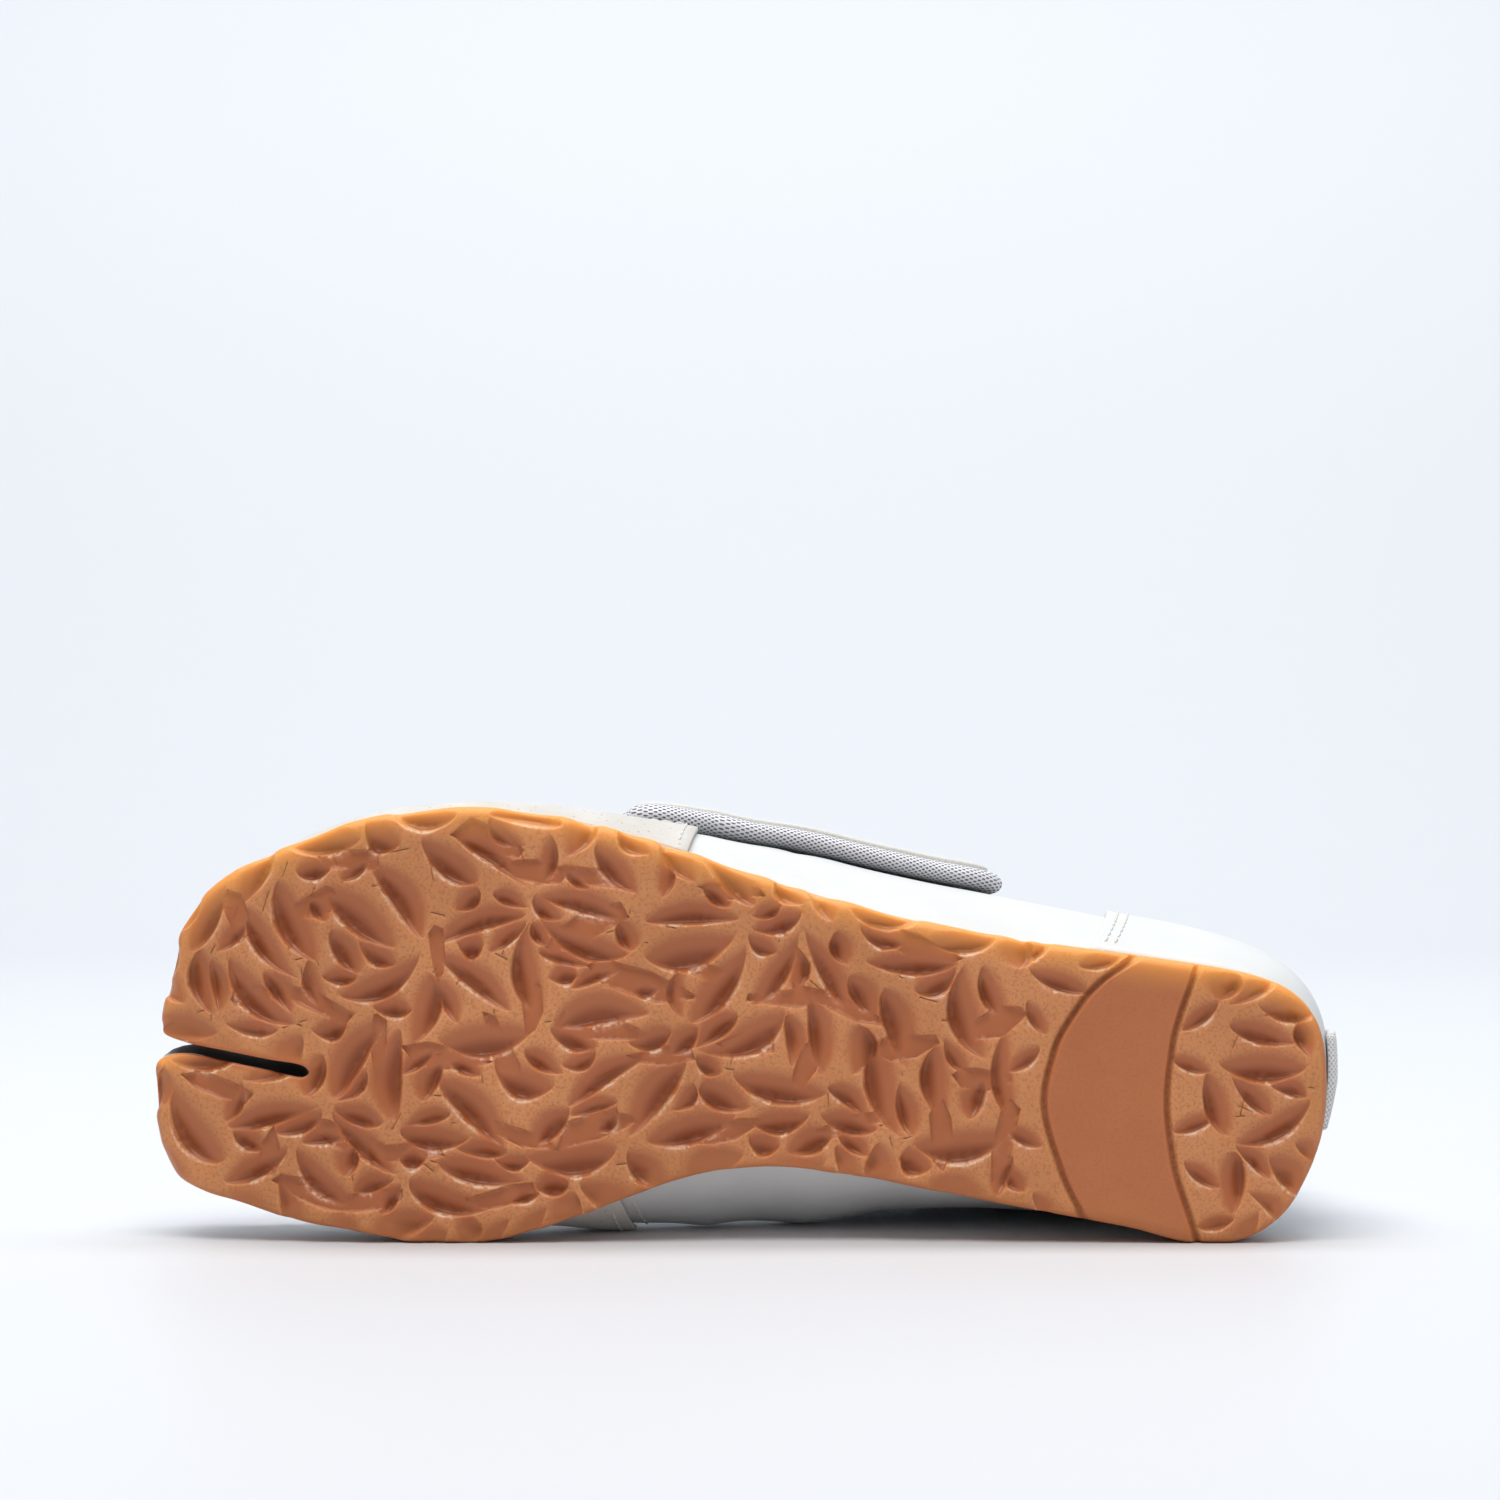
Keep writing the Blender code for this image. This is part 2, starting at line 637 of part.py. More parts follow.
def leaf_half(leaf, t):
    """Half width of a leaf, from tip (t = 0) to tip (t = 1); its skew moves the widest place."""
    return leaf["width"] / 2 * math.sin(math.pi * t ** leaf["skew"]) ** 0.8 if 0 < t < 1 else 0.0


def leaf_axes(leaf):
    """Directions along a leaf and across it, the second one towards its high side."""
    along = Vector((math.cos(leaf["heading"]), math.sin(leaf["heading"])))
    across = Vector((-along.y, along.x))
    return along, across if across.y > 0 else -across


def leaf_place(leaf, t, b):
    """Plan point of a leaf: t runs from tip to tip, b from -1 on its low edge to 1 on its high edge."""
    along, across = leaf_axes(leaf)
    length = leaf["length"]
    bend = leaf["bend"] * length * (4 * t * (1 - t) - LEAF_BEND_MEAN)
    return leaf["centre"] + along * (t - 0.5) * length + across * (bend + leaf_half(leaf, t) * b)


def leaf_outline(leaf):
    """Pointed oval of a leaf in plan."""
    there = [i / LEAF_STEPS for i in range(LEAF_STEPS)]
    return [leaf_place(leaf, t, 1) for t in there] + [leaf_place(leaf, 1 - t, -1) for t in there]


def leaf_scoop(leaf):
    """Deepest line of a leaf, near its low side."""
    return [leaf_place(leaf, 0.5 + share, -SCOOP_OFFSET) for share in (-SCOOP_LENGTH, 0.0, SCOOP_LENGTH)]


def leaf_spine(leaf):
    """Circles that fill a leaf from tip to tip: centres and radii."""
    return [(leaf_place(leaf, t, 0), leaf_half(leaf, t)) for t in steps(SPINE_STEPS)]


def leaf_fits(spine, others, loop):
    """Whether a leaf lies whole on the tread, off the heel band and clear of other leaves."""
    band = (BAND_BACK - GROOVE_WIDTH, BAND_FRONT + BAND_BOW + GROOVE_WIDTH)
    if any(q.x + radius > band[0] and q.x - radius < band[1] for q, radius in spine):
        return False
    for other in others:
        if any((q - r).length < a + b + LEAF_CLEARANCE for q, a in spine for r, b in other):
            return False
    return all(
        inside(q, loop) and min((q - r).length for r in loop) > radius + LEAF_MARGIN for q, radius in spine
    )


def leaves(loop):
    """Leaves strewn at random, the long ones first; every other try sprouts from the tip of one in place."""
    chance = random.Random(LEAF_SEED)
    found = []
    spines = []
    for i in range(LEAF_TRIES):
        leaf = {
            "length": LEAF_LONGEST + (LEAF_SHORTEST - LEAF_LONGEST) * i / LEAF_TRIES,
            "width": chance.uniform(*LEAF_WIDTHS),
            "skew": chance.uniform(*LEAF_SKEWS),
            "bend": chance.uniform(-LEAF_BEND, LEAF_BEND),
            "heading": chance.uniform(0.0, 2 * math.pi),
            "centre": Vector((chance.uniform(0.0, SOLE_LENGTH), chance.uniform(0.0, SOLE_WIDTH))),
        }
        if i % 2 and spines:
            tip = chance.choice(spines)[chance.choice((0, -1))][0]
            start = leaf_place(leaf, 0.0, 0) - leaf_axes(leaf)[0] * LEAF_TIP_GAP
            leaf["centre"] += tip - start
        spine = leaf_spine(leaf)
        reach = 2 * (LEAF_LONGEST + LEAF_CLEARANCE)
        near = [other for other in spines if (other[0][0] - spine[0][0]).length < reach]
        if leaf_fits(spine, near, loop):
            found.append(leaf)
            spines.append(spine)
    return found


def groove(middle_s):
    """Plan outline and middle line of a groove across the heel, bowed towards the toe."""
    low = row_at(SECTIONS, middle_s)["inner"] + SOLE_EDGE_RADIUS + 2.0
    high = row_at(SECTIONS, middle_s)["outer"] - SOLE_EDGE_RADIUS - 2.0
    line = []
    for t in steps(8):
        line.append(Vector((middle_s + BAND_BOW * math.sin(math.pi * t), low + (high - low) * t)))
    edge = [point + Vector((GROOVE_WIDTH / 2, 0)) for point in line]
    edge += [point - Vector((GROOVE_WIDTH / 2, 0)) for point in reversed(line)]
    return edge, line[1:-1]


class Plan:
    """Plan points with heights, and the edges the faces must follow."""

    def __init__(self):
        self.points = []
        self.heights = []
        self.edges = []

    def line(self, points, heights, closed):
        """Adds a run of points joined by edges."""
        first = len(self.points)
        self.points += points
        self.heights += heights
        last = len(self.points)
        self.edges += [(i, i + 1) for i in range(first, last - 1)]
        if closed:
            self.edges.append((last - 1, first))

    def faces(self):
        """Triangles inside the outermost edge, as numbers of the plan's own points."""
        made = delaunay_2d_cdt(self.points, self.edges, [], 1, 1e-5)
        first = [ids[0] for ids in made[3]]
        return [[first[i] for i in face] for face in made[2]]


def ground(point):
    """Height of the ground side of the sole at a plan point."""
    return row_at(SOLE_SIDE, point.x)["ground"]


def build_outsole():
    """Gum sole: lugged ground side, round lower edge, drafted side wall and a plain top."""
    loop = Rim(3).points
    draft = math.tan(LEAN)
    radius = SOLE_EDGE_RADIUS
    base = Plan()
    lower_edge = [inset_point(loop, i, radius * draft) for i in range(len(loop))]
    base.line(lower_edge, [ground(q) + radius for q in loop], True)
    rims = len(base.points)
    for share in (0.3, 1.0):
        ring = inset(loop, radius * share)
        rise = radius - math.sqrt(radius ** 2 - (radius - radius * share) ** 2)
        base.line(ring, [ground(q) + rise for q in ring], True)
    forms = []
    for leaf in leaves(loop):
        edge = leaf_outline(leaf)
        scoop = leaf_scoop(leaf)
        base.line(edge, [ground(q) for q in edge], True)
        base.line(scoop, [ground(q) + SCOOP_DEPTH for q in scoop], False)
        forms.append(edge)
    for middle_s in (BAND_FRONT, BAND_BACK):
        edge, line = groove(middle_s)
        base.line(edge, [ground(q) for q in edge], True)
        base.line(line, [ground(q) + GROOVE_DEPTH for q in line], False)
        forms.append(edge)
    spare = clear_grid(loop, TREAD_GRID, TREAD_MARGIN, forms)
    base.points += spare
    base.heights += [ground(q) for q in spare]

    lid = Plan()
    top_loop = [row_at(SOLE_SIDE, q.x)["top"] for q in loop]
    depths = [(top - ground(q)) * draft for top, q in zip(top_loop, loop)]
    top_edge = [inset_point(loop, i, depth) for i, depth in enumerate(depths)]
    lid.line(top_edge, top_loop, True)
    inner = clear_grid(loop, SOLE_TOP_GRID, SOLE_TOP_GRID / 2, [])
    lid.points += inner
    lid.heights += [row_at(SOLE_SIDE, q.x)["top"] for q in inner]

    mesh = bmesh.new()
    under = [mesh.verts.new((q.x * MM, q.y * MM, h * MM)) for q, h in zip(base.points, base.heights)]
    over = [mesh.verts.new((q.x * MM, q.y * MM, h * MM)) for q, h in zip(lid.points, lid.heights)]
    for face in base.faces():
        mesh.faces.new([under[i] for i in reversed(face)])
    for face in lid.faces():
        mesh.faces.new([over[i] for i in face])
    for i in range(rims):
        j = (i + 1) % rims
        mesh.faces.new([under[j], under[i], over[i], over[j]])
    bmesh.ops.recalc_face_normals(mesh, faces=mesh.faces[:])
    return add("outsole", mesh, "gum_rubber")


def inset_point(loop, i, distance):
    """One point of a loop moved inward."""
    step = loop[(i + 1) % len(loop)] - loop[i - 1]
    return loop[i] + Vector((-step.y, step.x)).normalized() * distance


def build_insole():
    """Thin footbed inside the upper, on the sole."""
    loop = inset(Rim(2, INSOLE_SETBACK).points, FEATHER_INSET + UPPER_WALL + INSOLE_GAP)
    plan = Plan()
    plan.line(loop, [0.0] * len(loop), True)
    spare = clear_grid(loop, SOLE_TOP_GRID, SOLE_TOP_GRID / 2, [])
    plan.points += spare
    mesh = bmesh.new()
    layers = []
    for rise in (MEET_GAP, MEET_GAP + INSOLE_THICK):
        layers.append([mesh.verts.new((q.x * MM, q.y * MM, (row_at(SOLE_SIDE, q.x)["top"] + rise) * MM))
                       for q in plan.points])
    for face in plan.faces():
        mesh.faces.new([layers[0][i] for i in reversed(face)])
        mesh.faces.new([layers[1][i] for i in face])
    for i in range(len(loop)):
        j = (i + 1) % len(loop)
        mesh.faces.new([layers[0][j], layers[0][i], layers[1][i], layers[1][j]])
    bmesh.ops.recalc_face_normals(mesh, faces=mesh.faces[:])
    return add("insole", mesh, "grey_mesh")


def in_valley(point):
    """How near a point is to the narrow valley behind the cleft: 1 in it, 0 well away."""
    foot = Vector(CENTRE["rows"][0][1:3])
    head = Vector(CENTRE["rows"][3][1:3])
    along = head - foot
    share = min(max((point.xy - foot).dot(along) / along.length_squared, 0.0), 1.0)
    away = (point.xy - foot - along * share).length
    return min(max(2 - away / VALLEY_HALF, 0.0), 1.0)


def build_overlays():
    """Toe cap, heel counter, strap with its pad, and heel tab, each lifted off what lies under it."""
    cap = sheet(cap_patches())
    lift(cap, lambda point: MEET_GAP + VALLEY_ROOM * in_valley(point))
    shell("toe_cap", cap, "sand_suede", OVERLAY, True, lambda point: 1 - VALLEY_THIN * in_valley(point))

    counter = sheet(counter_patches())
    lift(counter, lambda point: MEET_GAP)
    shell("heel_counter", counter, "white_leather", OVERLAY, True)

    pad = sheet(strap_patches())
    lift(pad, lambda point: MEET_GAP + PAD_CLEAR)
    shell("strap_pad", pad, "grey_mesh", PAD_THICK, True)

    cover = sheet(strap_patches())
    lift(cover, lambda point: 2 * MEET_GAP + PAD_CLEAR + PAD_THICK)
    shell("strap_cover", cover, "white_leather", COVER_THICK, True)

    tab = sheet(tab_patches())
    counter_top = wall("outer", 2.0, COUNTER_BACK_TOP).z
    step = OVERLAY + MEET_GAP
    start = counter_top + TAB_STEP_TOP
    lift(tab, lambda point: MEET_GAP + step * min(max((start - point.z) / TAB_STEP, 0.0), 1.0))
    shell("heel_tab", tab, "grey_webbing", TAB_THICK, True)


for old in list(bpy.data.objects):
    bpy.data.objects.remove(old, do_unlink=True)

SHOE = bpy.data.collections.new(NAME)
bpy.context.scene.collection.children.link(SHOE)
LYING = bpy.data.objects.new("lying_pose", None)
SHOE.objects.link(LYING)
LYING.rotation_mode = "ZYX"
LYING.rotation_euler = (-(math.pi / 2 + LEAN), 0.0, math.pi)
LYING.location = (LIE_LENGTH * MM, -LIE_DEPTH * MM, 0.0)

build_outsole()
build_insole()
shell("upper", sheet(skin_patches()), "white_leather", UPPER_WALL, False)
build_overlays()
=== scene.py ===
"""Looks of the left split-toe high-top: gum sole with a leaf tread, leather, suede, knit and stitching.

Sizes are millimetres in the shoe's own frame: s runs from heel to toe, w from the inner to the outer side
and u up from the ground under the sole.  lay() takes a point of that frame to where the shoe lies.
"""

import math
import random
from bisect import bisect_left, bisect_right

import bmesh
import bpy
import numpy as np
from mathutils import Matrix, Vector
from mathutils.geometry import delaunay_2d_cdt
from mathutils.kdtree import KDTree


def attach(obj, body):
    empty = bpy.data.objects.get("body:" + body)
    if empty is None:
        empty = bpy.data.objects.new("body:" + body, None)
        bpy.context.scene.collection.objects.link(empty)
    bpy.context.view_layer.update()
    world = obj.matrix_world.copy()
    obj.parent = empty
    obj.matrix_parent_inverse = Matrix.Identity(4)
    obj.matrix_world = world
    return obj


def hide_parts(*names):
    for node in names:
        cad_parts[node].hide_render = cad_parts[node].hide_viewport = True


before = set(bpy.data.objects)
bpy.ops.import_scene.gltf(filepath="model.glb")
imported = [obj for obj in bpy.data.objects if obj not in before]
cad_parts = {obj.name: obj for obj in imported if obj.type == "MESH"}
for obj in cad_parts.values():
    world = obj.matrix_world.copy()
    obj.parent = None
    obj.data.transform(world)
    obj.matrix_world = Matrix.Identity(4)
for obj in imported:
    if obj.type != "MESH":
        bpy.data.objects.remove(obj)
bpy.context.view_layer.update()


# Numbers and tables
def clamp(value):
    """Value kept between 0 and 1."""
    return min(max(value, 0.0), 1.0)


def ease(value):
    """Value kept between 0 and 1, with soft ends."""
    value = clamp(value)
    return value * value * (3 - 2 * value)


def steps(count, start=0.0, end=1.0):
    """Even steps from start to end."""
    return [start + (end - start) * i / count for i in range(count + 1)]


def refine(rows, parts):
    """Rows with every interval cut into equal parts."""
    fine = [a + (b - a) * i / parts for a, b in zip(rows, rows[1:]) for i in range(parts)]
    return tuple(fine) + (rows[-1],)


def hermite(a, leave, b, arrive, t):
    """Curve from a to b with given slopes at its ends."""
    start = a * (1 + 2 * t) * (1 - t) ** 2 + leave * t * (1 - t) ** 2
    return start + b * t * t * (3 - 2 * t) - arrive * t * t * (1 - t)


def bezier(a, b, c, d, t):
    """Point of a cubic curve."""
    return a * (1 - t) ** 3 + b * 3 * t * (1 - t) ** 2 + c * 3 * t * t * (1 - t) + d * t ** 3


class Table:
    """Rows of named columns; at() finds them smoothly between the values of the first column."""

    def __init__(self, columns, *rows):
        self.keys, *values = zip(*rows)
        named = zip(columns.split()[1:], values)
        self.columns = [(name, column, self.slopes(column)) for name, column in named]

    def slopes(self, column):
        """Slope at each row, without overshoot between the rows."""
        spans = zip(self.keys, self.keys[1:], column, column[1:])
        steep = [(d - c) / (b - a) for a, b, c, d in spans]
        middle = [2 * a * b / (a + b) if a * b > 0 else 0.0 for a, b in zip(steep, steep[1:])]
        return steep[:1] + middle + steep[-1:]

    def at(self, key):
        """Every column at one key."""
        keys = self.keys
        key = min(max(key, keys[0]), keys[-1])
        i = min(max(bisect_left(keys, key) - 1, 0), len(keys) - 2)
        span = keys[i + 1] - keys[i]
        t = (key - keys[i]) / span
        return {name: hermite(column[i], slope[i] * span, column[i + 1], slope[i + 1] * span, t)
                for name, column, slope in self.columns}


# Lying pose: how far the sole leans back, and the point of the shoe that stands over the world origin.
MM = 0.001
FLOOR_CLEAR = 0.02
LEAN = math.radians(3.0)
DRAFT = math.tan(LEAN)
LIE_LENGTH = 127.66
LIE_DEPTH = 64.4

# Sole edge seen from below, heel to toe: s, inner, outer.
SECTIONS = (
    (0, 35, 35), (1.2, 24, 46.6), (4.4, 15.2, 52.7), (9.5, 6.9, 56.9), (16, 2, 59.4), (23, -0.1, 61),
    (31, -0.1, 62.3), (44, 3.2, 64.2), (64, 6.9, 66.9), (84, 10.6, 70.4), (104, 14.4, 75.1),
    (126, 16.6, 81.6), (144, 13.9, 87.7), (160, 8, 92.4), (174, 3.2, 95.5), (188, -0.1, 96.9),
    (202, -0.1, 96.3), (216, 2.4, 93.9), (230, 5, 88.9), (243, 8.9, 83.2), (250.5, 11.2, 77.6),
)
BIG_TOE_FRONT = ((256.8, 14.6), (260, 20.6), (261.4, 28), (261.7, 35), (261, 40.2))
SMALL_TOES_FRONT = ((260, 46.4), (260.8, 50), (259.2, 56), (257.6, 63.5), (255.4, 70.8))
CLEFT_END = (227.6, 37.85)
CLEFT_MOUTH = (256.5, 43.5)
CLEFT_WIDTH = 2.0
CLEFT_STEPS = (0.0, 0.3, 0.65, 0.94)
SOLE_LENGTH = 262.0
SOLE_WIDTH = 97.0
SOLE_EDGE_RADIUS = 3.0
# Sole seen from the side, with heel, arch and toe spring.
SOLE_SIDE = Table(
    "s ground top",
    (0, 1, 12.4), (14, 0, 12), (60, 0, 11.6), (110, 1.8, 11), (150, 0.2, 9.8),
    (172, 0, 9.3), (205, 0, 9.2), (230, 2.2, 11), (262, 8.5, 16.4),
)

# Upper: wall and featherline.
UPPER_WALL = 2.0
FEATHER_INSET = 2.6
FEATHER_GAP = 0.3
MEET_GAP = 0.3
CLEFT_FOOT_S = 226.0
THROAT_S = 140.0
HEEL_NEAR_S = 0.4
OUTWARD_SPAN = 1.5
SKIN_STEP = 0.004

# Walls of the upper, one row per section: p is 0 behind the cleft, 1 at the throat and 2 at the heel's back.
# crest_s, crest_w and crest_u are the ridge of the vamp and then the throat edge and collar.
# bulge and reach are in millimetres; rise, share and drop are parts of the wall's own height and depth.
WALL_COLUMNS = "p crest_s crest_w crest_u bulge rise share reach drop"
WALLS = {
    "outer": Table(
        WALL_COLUMNS,
        (0.00, 226, 62.0, 35.5, 8.5, 0.70, 0.60, 0, 0.00),
        (0.50, 184, 65.5, 49.0, 10.5, 0.58, 0.62, 2, 0.04),
        (1.00, 140, 66.0, 65.5, 17.5, 0.47, 0.55, 11, 0.10),
        (1.15, 124, 67.0, 82.0, 22.5, 0.42, 0.30, 14, 0.20),
        (1.30, 109, 68.0, 100.0, 24.0, 0.36, 0.10, 11, 0.28),
        (1.42, 97, 69.0, 114.0, 24.5, 0.33, 0.00, 7, 0.34),
        (1.55, 80, 70.2, 118.0, 22.5, 0.32, 0.00, 3, 0.38),
        (1.70, 54, 69.0, 115.5, 20.5, 0.32, 0.00, -2, 0.42),
        (1.85, 24, 60.0, 111.5, 19.5, 0.32, 0.00, -4, 0.44),
        (2.00, 3, 36.0, 110.0, 13.0, 0.31, 0.00, -5, 0.42),
    ),
    "inner": Table(
        WALL_COLUMNS,
        (0.00, 226, 21.5, 40.0, 0.6, 0.70, 0.60, 0, 0.00),
        (0.50, 184, 32.5, 52.5, 0.6, 0.58, 0.62, 0, 0.04),
        (0.75, 162, 35.4, 59.4, 20.5, 0.51, 0.61, 7, 0.07),
        (1.00, 140, 38.0, 66.5, 33.5, 0.44, 0.60, 15, 0.10),
        (1.15, 124, 33.0, 82.0, 34.0, 0.38, 0.30, 18, 0.20),
        (1.30, 109, 25.0, 100.0, 20.5, 0.32, 0.10, 14, 0.24),
        (1.42, 97, 15.0, 114.0, 11.0, 0.30, 0.00, 7, 0.30),
        (1.55, 80, 5.8, 118.0, 4.0, 0.31, 0.00, 1, 0.38),
        (1.70, 54, 5.8, 115.5, -1.5, 0.32, 0.00, -1, 0.42),
        (1.85, 24, 13.0, 111.5, 4.0, 0.32, 0.00, -4, 0.44),
        (2.00, 3, 36.0, 110.0, 13.0, 0.31, 0.00, -5, 0.42),
    ),
}
SIDES = (("outer", 1), ("inner", -1))
# Middle of the vamp, from the foot of the cleft back to the throat and on under the strap.
VALLEY_FOOT = (224.0, 37.6, 11.3)
VALLEY_HEAD = (206.0, 41.0)
CENTRE = Table(
    "p s w u steep",
    (0.00, *VALLEY_FOOT, 1.00), (0.045, 222.8, 38.0, 21.0, 0.94), (0.125, 216.0, 39.2, 30.5, 0.75),
    (0.24, *VALLEY_HEAD, 40.0, 0.45), (0.42, 190.0, 44.0, 49.5, 0.12), (0.62, 173.0, 48.0, 58.0, 0.00),
    (1.00, 141.0, 52.0, 70.0, 0.00), (1.15, 129.0, 50.0, 88.5, 0.00), (1.30, 117.5, 46.5, 107.0, 0.00),
    (1.45, 104.0, 41.0, 124.0, 0.00),
)
# Ridges of the two toe lobes, from their front ends back to the sections behind the cleft.
RIDGES = {
    "outer": Table("k s w u", (0, 245.5, 58.5, 31), (0.5, 236.5, 60.5, 33.6), (1, 226, 62, 35.5)),
    "inner": Table("k s w u", (0, 249, 28, 36), (0.5, 238.5, 24.5, 38.6), (1, 226, 21.5, 40)),
}
# Swelling of the lobes into the cleft, from the tips (0) to the foot of the cleft (1).
CLEFT_SWELL = Table(
    "k inner outer",
    (0, 0, 0), (0.35, 8, 1.6), (0.75, 8.8, 2), (0.93, 11, 2), (0.975, 9, 1.6), (1, 0, 0),
)
TIP_W = {"outer": 57.5, "inner": 28.5}
TIP_NEAREST = 30.0
TIP_FARTHEST = 80.0
LOBE_RISE = 0.70
LOBE_SHARE = 0.58
CLEFT_SHARE = 0.50
CREST_SHARE = 0.36
MIDDLE_SHARE = 0.40
VALLEY_RISE = 0.50
VALLEY_OPEN = 0.45
VALLEY_START = 0.965
VALLEY_ROOM = 0.3
VALLEY_THIN = 0.65
VALLEY_HALF = 4.0

# Overlays.
OVERLAY = 1.4
CAP_LOW = {"outer": 0.968, "inner": 0.79}
CAP_HIGH = 0.76
CAP_TURN = 0.48
CAP_BEND = (0.26, 0.38)
CAP_FOOT = 0.02
# Painted shade on the toe cap in the cleft between the toes: its reach from the cleft's line, soft edge, top
# and fade.
CLEFT_SHADE = 4.2
CLEFT_SHADE_SOFT = 1.2
CLEFT_SHADE_TOP = 31.0
CLEFT_SHADE_FADE = 5.0
COUNTER_LOW = 1.57
COUNTER_HIGH = 1.67
COUNTER_TOP = 0.44
COUNTER_BACK_TOP = 0.52
COUNTER_STEPS = 20
COUNTER_FRONT_ROWS = 16

# Strap: padded lining with a leather cover.
STRAP_FRONT = 0.798
STRAP_BACK = 1.42
STRAP_END = 0.40
STRAP_HINGE = (1.0, 0.91, 0.80)
STRAP_CORNER = 0.08
STRAP_ROUND = 0.09
STRAP_FLARE = 0.36
CROWN_STEPS = 24
PAD_CLEAR = 0.3
PAD_THICK = 4.6
PAD_OVER = 0.2
PAD_BULGE = 3.4
PAD_ROUNDS = 12
COVER_THICK = 1.4
COVER_SETBACK = 0.018
BINDING_WIDTH = 1.1
BINDING_PROUD = 0.1
ROLL_REACH = 5.0
ROLL_RISE = 0.3
CORNER_RISE = 1.5
CORNER_S = (128.0, 154.0)
CORNER_W = (60.0, 78.0)

# Heel tab and insole.
TAB_THICK = 2.0
TAB_STEP_TOP = 9.0
TAB_STEP = 7.0
INSOLE_THICK = 4.0
INSOLE_GAP = 1.6
INSOLE_SETBACK = 8.0
INSOLE_GRID = 3.0
INSOLE_EDGE_PITCH = 0.4
INSOLE_ROUND = 0.7
INSOLE_ROUND_REACH = 2.0

# Levels up the wall and rows along it: the intervals of the solids, cut again for the fine pieces.
SOLID_LEVELS = (0.0, 0.1, 0.2, 0.3, 0.4, 0.52, 0.66, 0.82, 1.0)
SOLID_VAMP = (0.0, 0.045, 0.125, 0.24, 0.36, 0.48, 0.60, 0.72, 0.84, 0.92, 1.0)
SOLID_SIDE = (1.0, 1.06, 1.12, 1.18, 1.24, 1.30, 1.36, 1.42, 1.48, 1.54, 1.60, 1.66, 1.72)
SOLID_HEEL = (1.72, 1.77, 1.81, 1.85, 1.88, 1.91, 1.94, 1.97, 2.0)
LEVELS = refine(SOLID_LEVELS, 4)
VAMP_ROWS = refine(SOLID_VAMP, 5)
CAP_ROWS = refine(SOLID_VAMP[:9] + SOLID_VAMP[10:], 5)
HEEL_ROWS = refine(SOLID_HEEL, 4)
QUARTER_ROWS = refine(SOLID_SIDE, 4) + HEEL_ROWS[1:]
LOBE_ROWS = refine((0.0, 0.15, 0.30, 0.45, 0.60, 0.75, 0.88, 0.965, 1.0), 4)
ROUND_LOBE = [-k for k in reversed(LOBE_ROWS)] + list(LOBE_ROWS[1:])
STRAP_ROWS = refine((STRAP_FRONT,) + SOLID_VAMP[9:] + SOLID_SIDE[1:8], 6)
STRAP_LEVELS = SOLID_LEVELS[5:]
TAB_ROWS = refine(SOLID_HEEL[-3:], 5)
TAB_LEVELS = refine(SOLID_LEVELS[1:], 6)


# Plan of the shoe
def turned(step):
    """Plan direction a quarter turn to the left."""
    return Vector((-step.y, step.x))


def lengths(points):
    """Length along a run of points, at each of them."""
    return np.cumsum([0.0] + [(b - a).length for a, b in zip(points, points[1:])])


def rim_corners(setback=0.0):
    """Corner points of the sole edge: along the cleft, round the small toes, the heel and the big toe."""
    start = Vector(CLEFT_END) - Vector((setback, 0.0))
    along = Vector(CLEFT_MOUTH) - start
    across = turned(along).normalized() * CLEFT_WIDTH / 2
    points = [start - along.normalized() * CLEFT_WIDTH / 2]
    points += [start + along * share + across for share in CLEFT_STEPS]
    points += [Vector(point) for point in SMALL_TOES_FRONT]
    points += [Vector((s, outer)) for s, inner, outer in reversed(SECTIONS)]
    points += [Vector((s, inner)) for s, inner, outer in SECTIONS[1:]]
    points += [Vector(point) for point in BIG_TOE_FRONT]
    points += [start + along * share - across for share in reversed(CLEFT_STEPS)]
    return points


def smooth_loop(points, parts):
    """Closed curve through the points, with even speed; it never passes below the floor line."""
    loop = []
    count = len(points)
    for i in range(count):
        a, b, c, d = (points[(i + j) % count] for j in (-1, 0, 1, 2))
        ta, tb, tc = ((q - p).length ** 0.5 for p, q in ((a, b), (b, c), (c, d)))
        leave = (c - b) + ((b - a) / ta - (c - a) / (ta + tb)) * tb
        arrive = (c - b) + ((d - c) / tc - (d - b) / (tb + tc)) * tb
        for j in range(parts):
            point = hermite(b, leave, c, arrive, j / parts)
            loop.append(Vector((point.x, max(point.y, 0.0))))
    return loop


class Rim:
    """The sole edge as a loop measured along its length, from the foot of the cleft."""

    def __init__(self, parts, setback=0.0):
        self.points = smooth_loop(rim_corners(setback), parts)
        self.reach = lengths(self.points + self.points[:1]).tolist()
        self.total = self.reach[-1]

    def at(self, length):
        """Point at a length along the rim."""
        length = min(max(length, 0.0), self.total)
        count = len(self.points)
        i = bisect_right(self.reach, length, 0, count) - 1
        share = (length - self.reach[i]) / max(self.reach[i + 1] - self.reach[i], 1e-9)
        return self.points[i].lerp(self.points[(i + 1) % count], share)

    def outward(self, length):
        """Outward direction, taken over a few millimetres so that the corners stay round."""
        if length < OUTWARD_SPAN or length > self.total - OUTWARD_SPAN:
            return Vector((1.0, 0.0))
        return -turned(self.at(length + OUTWARD_SPAN) - self.at(length - OUTWARD_SPAN)).normalized()

    def where(self, axis, value, start, end):
        """First length between start and end where one coordinate passes a value."""
        tried = steps(2000, start, end)
        offsets = [self.at(length)[axis] - value for length in tried]
        passed = (b for b, first, then in zip(tried[1:], offsets, offsets[1:]) if first * then <= 0)
        return next(passed, end)


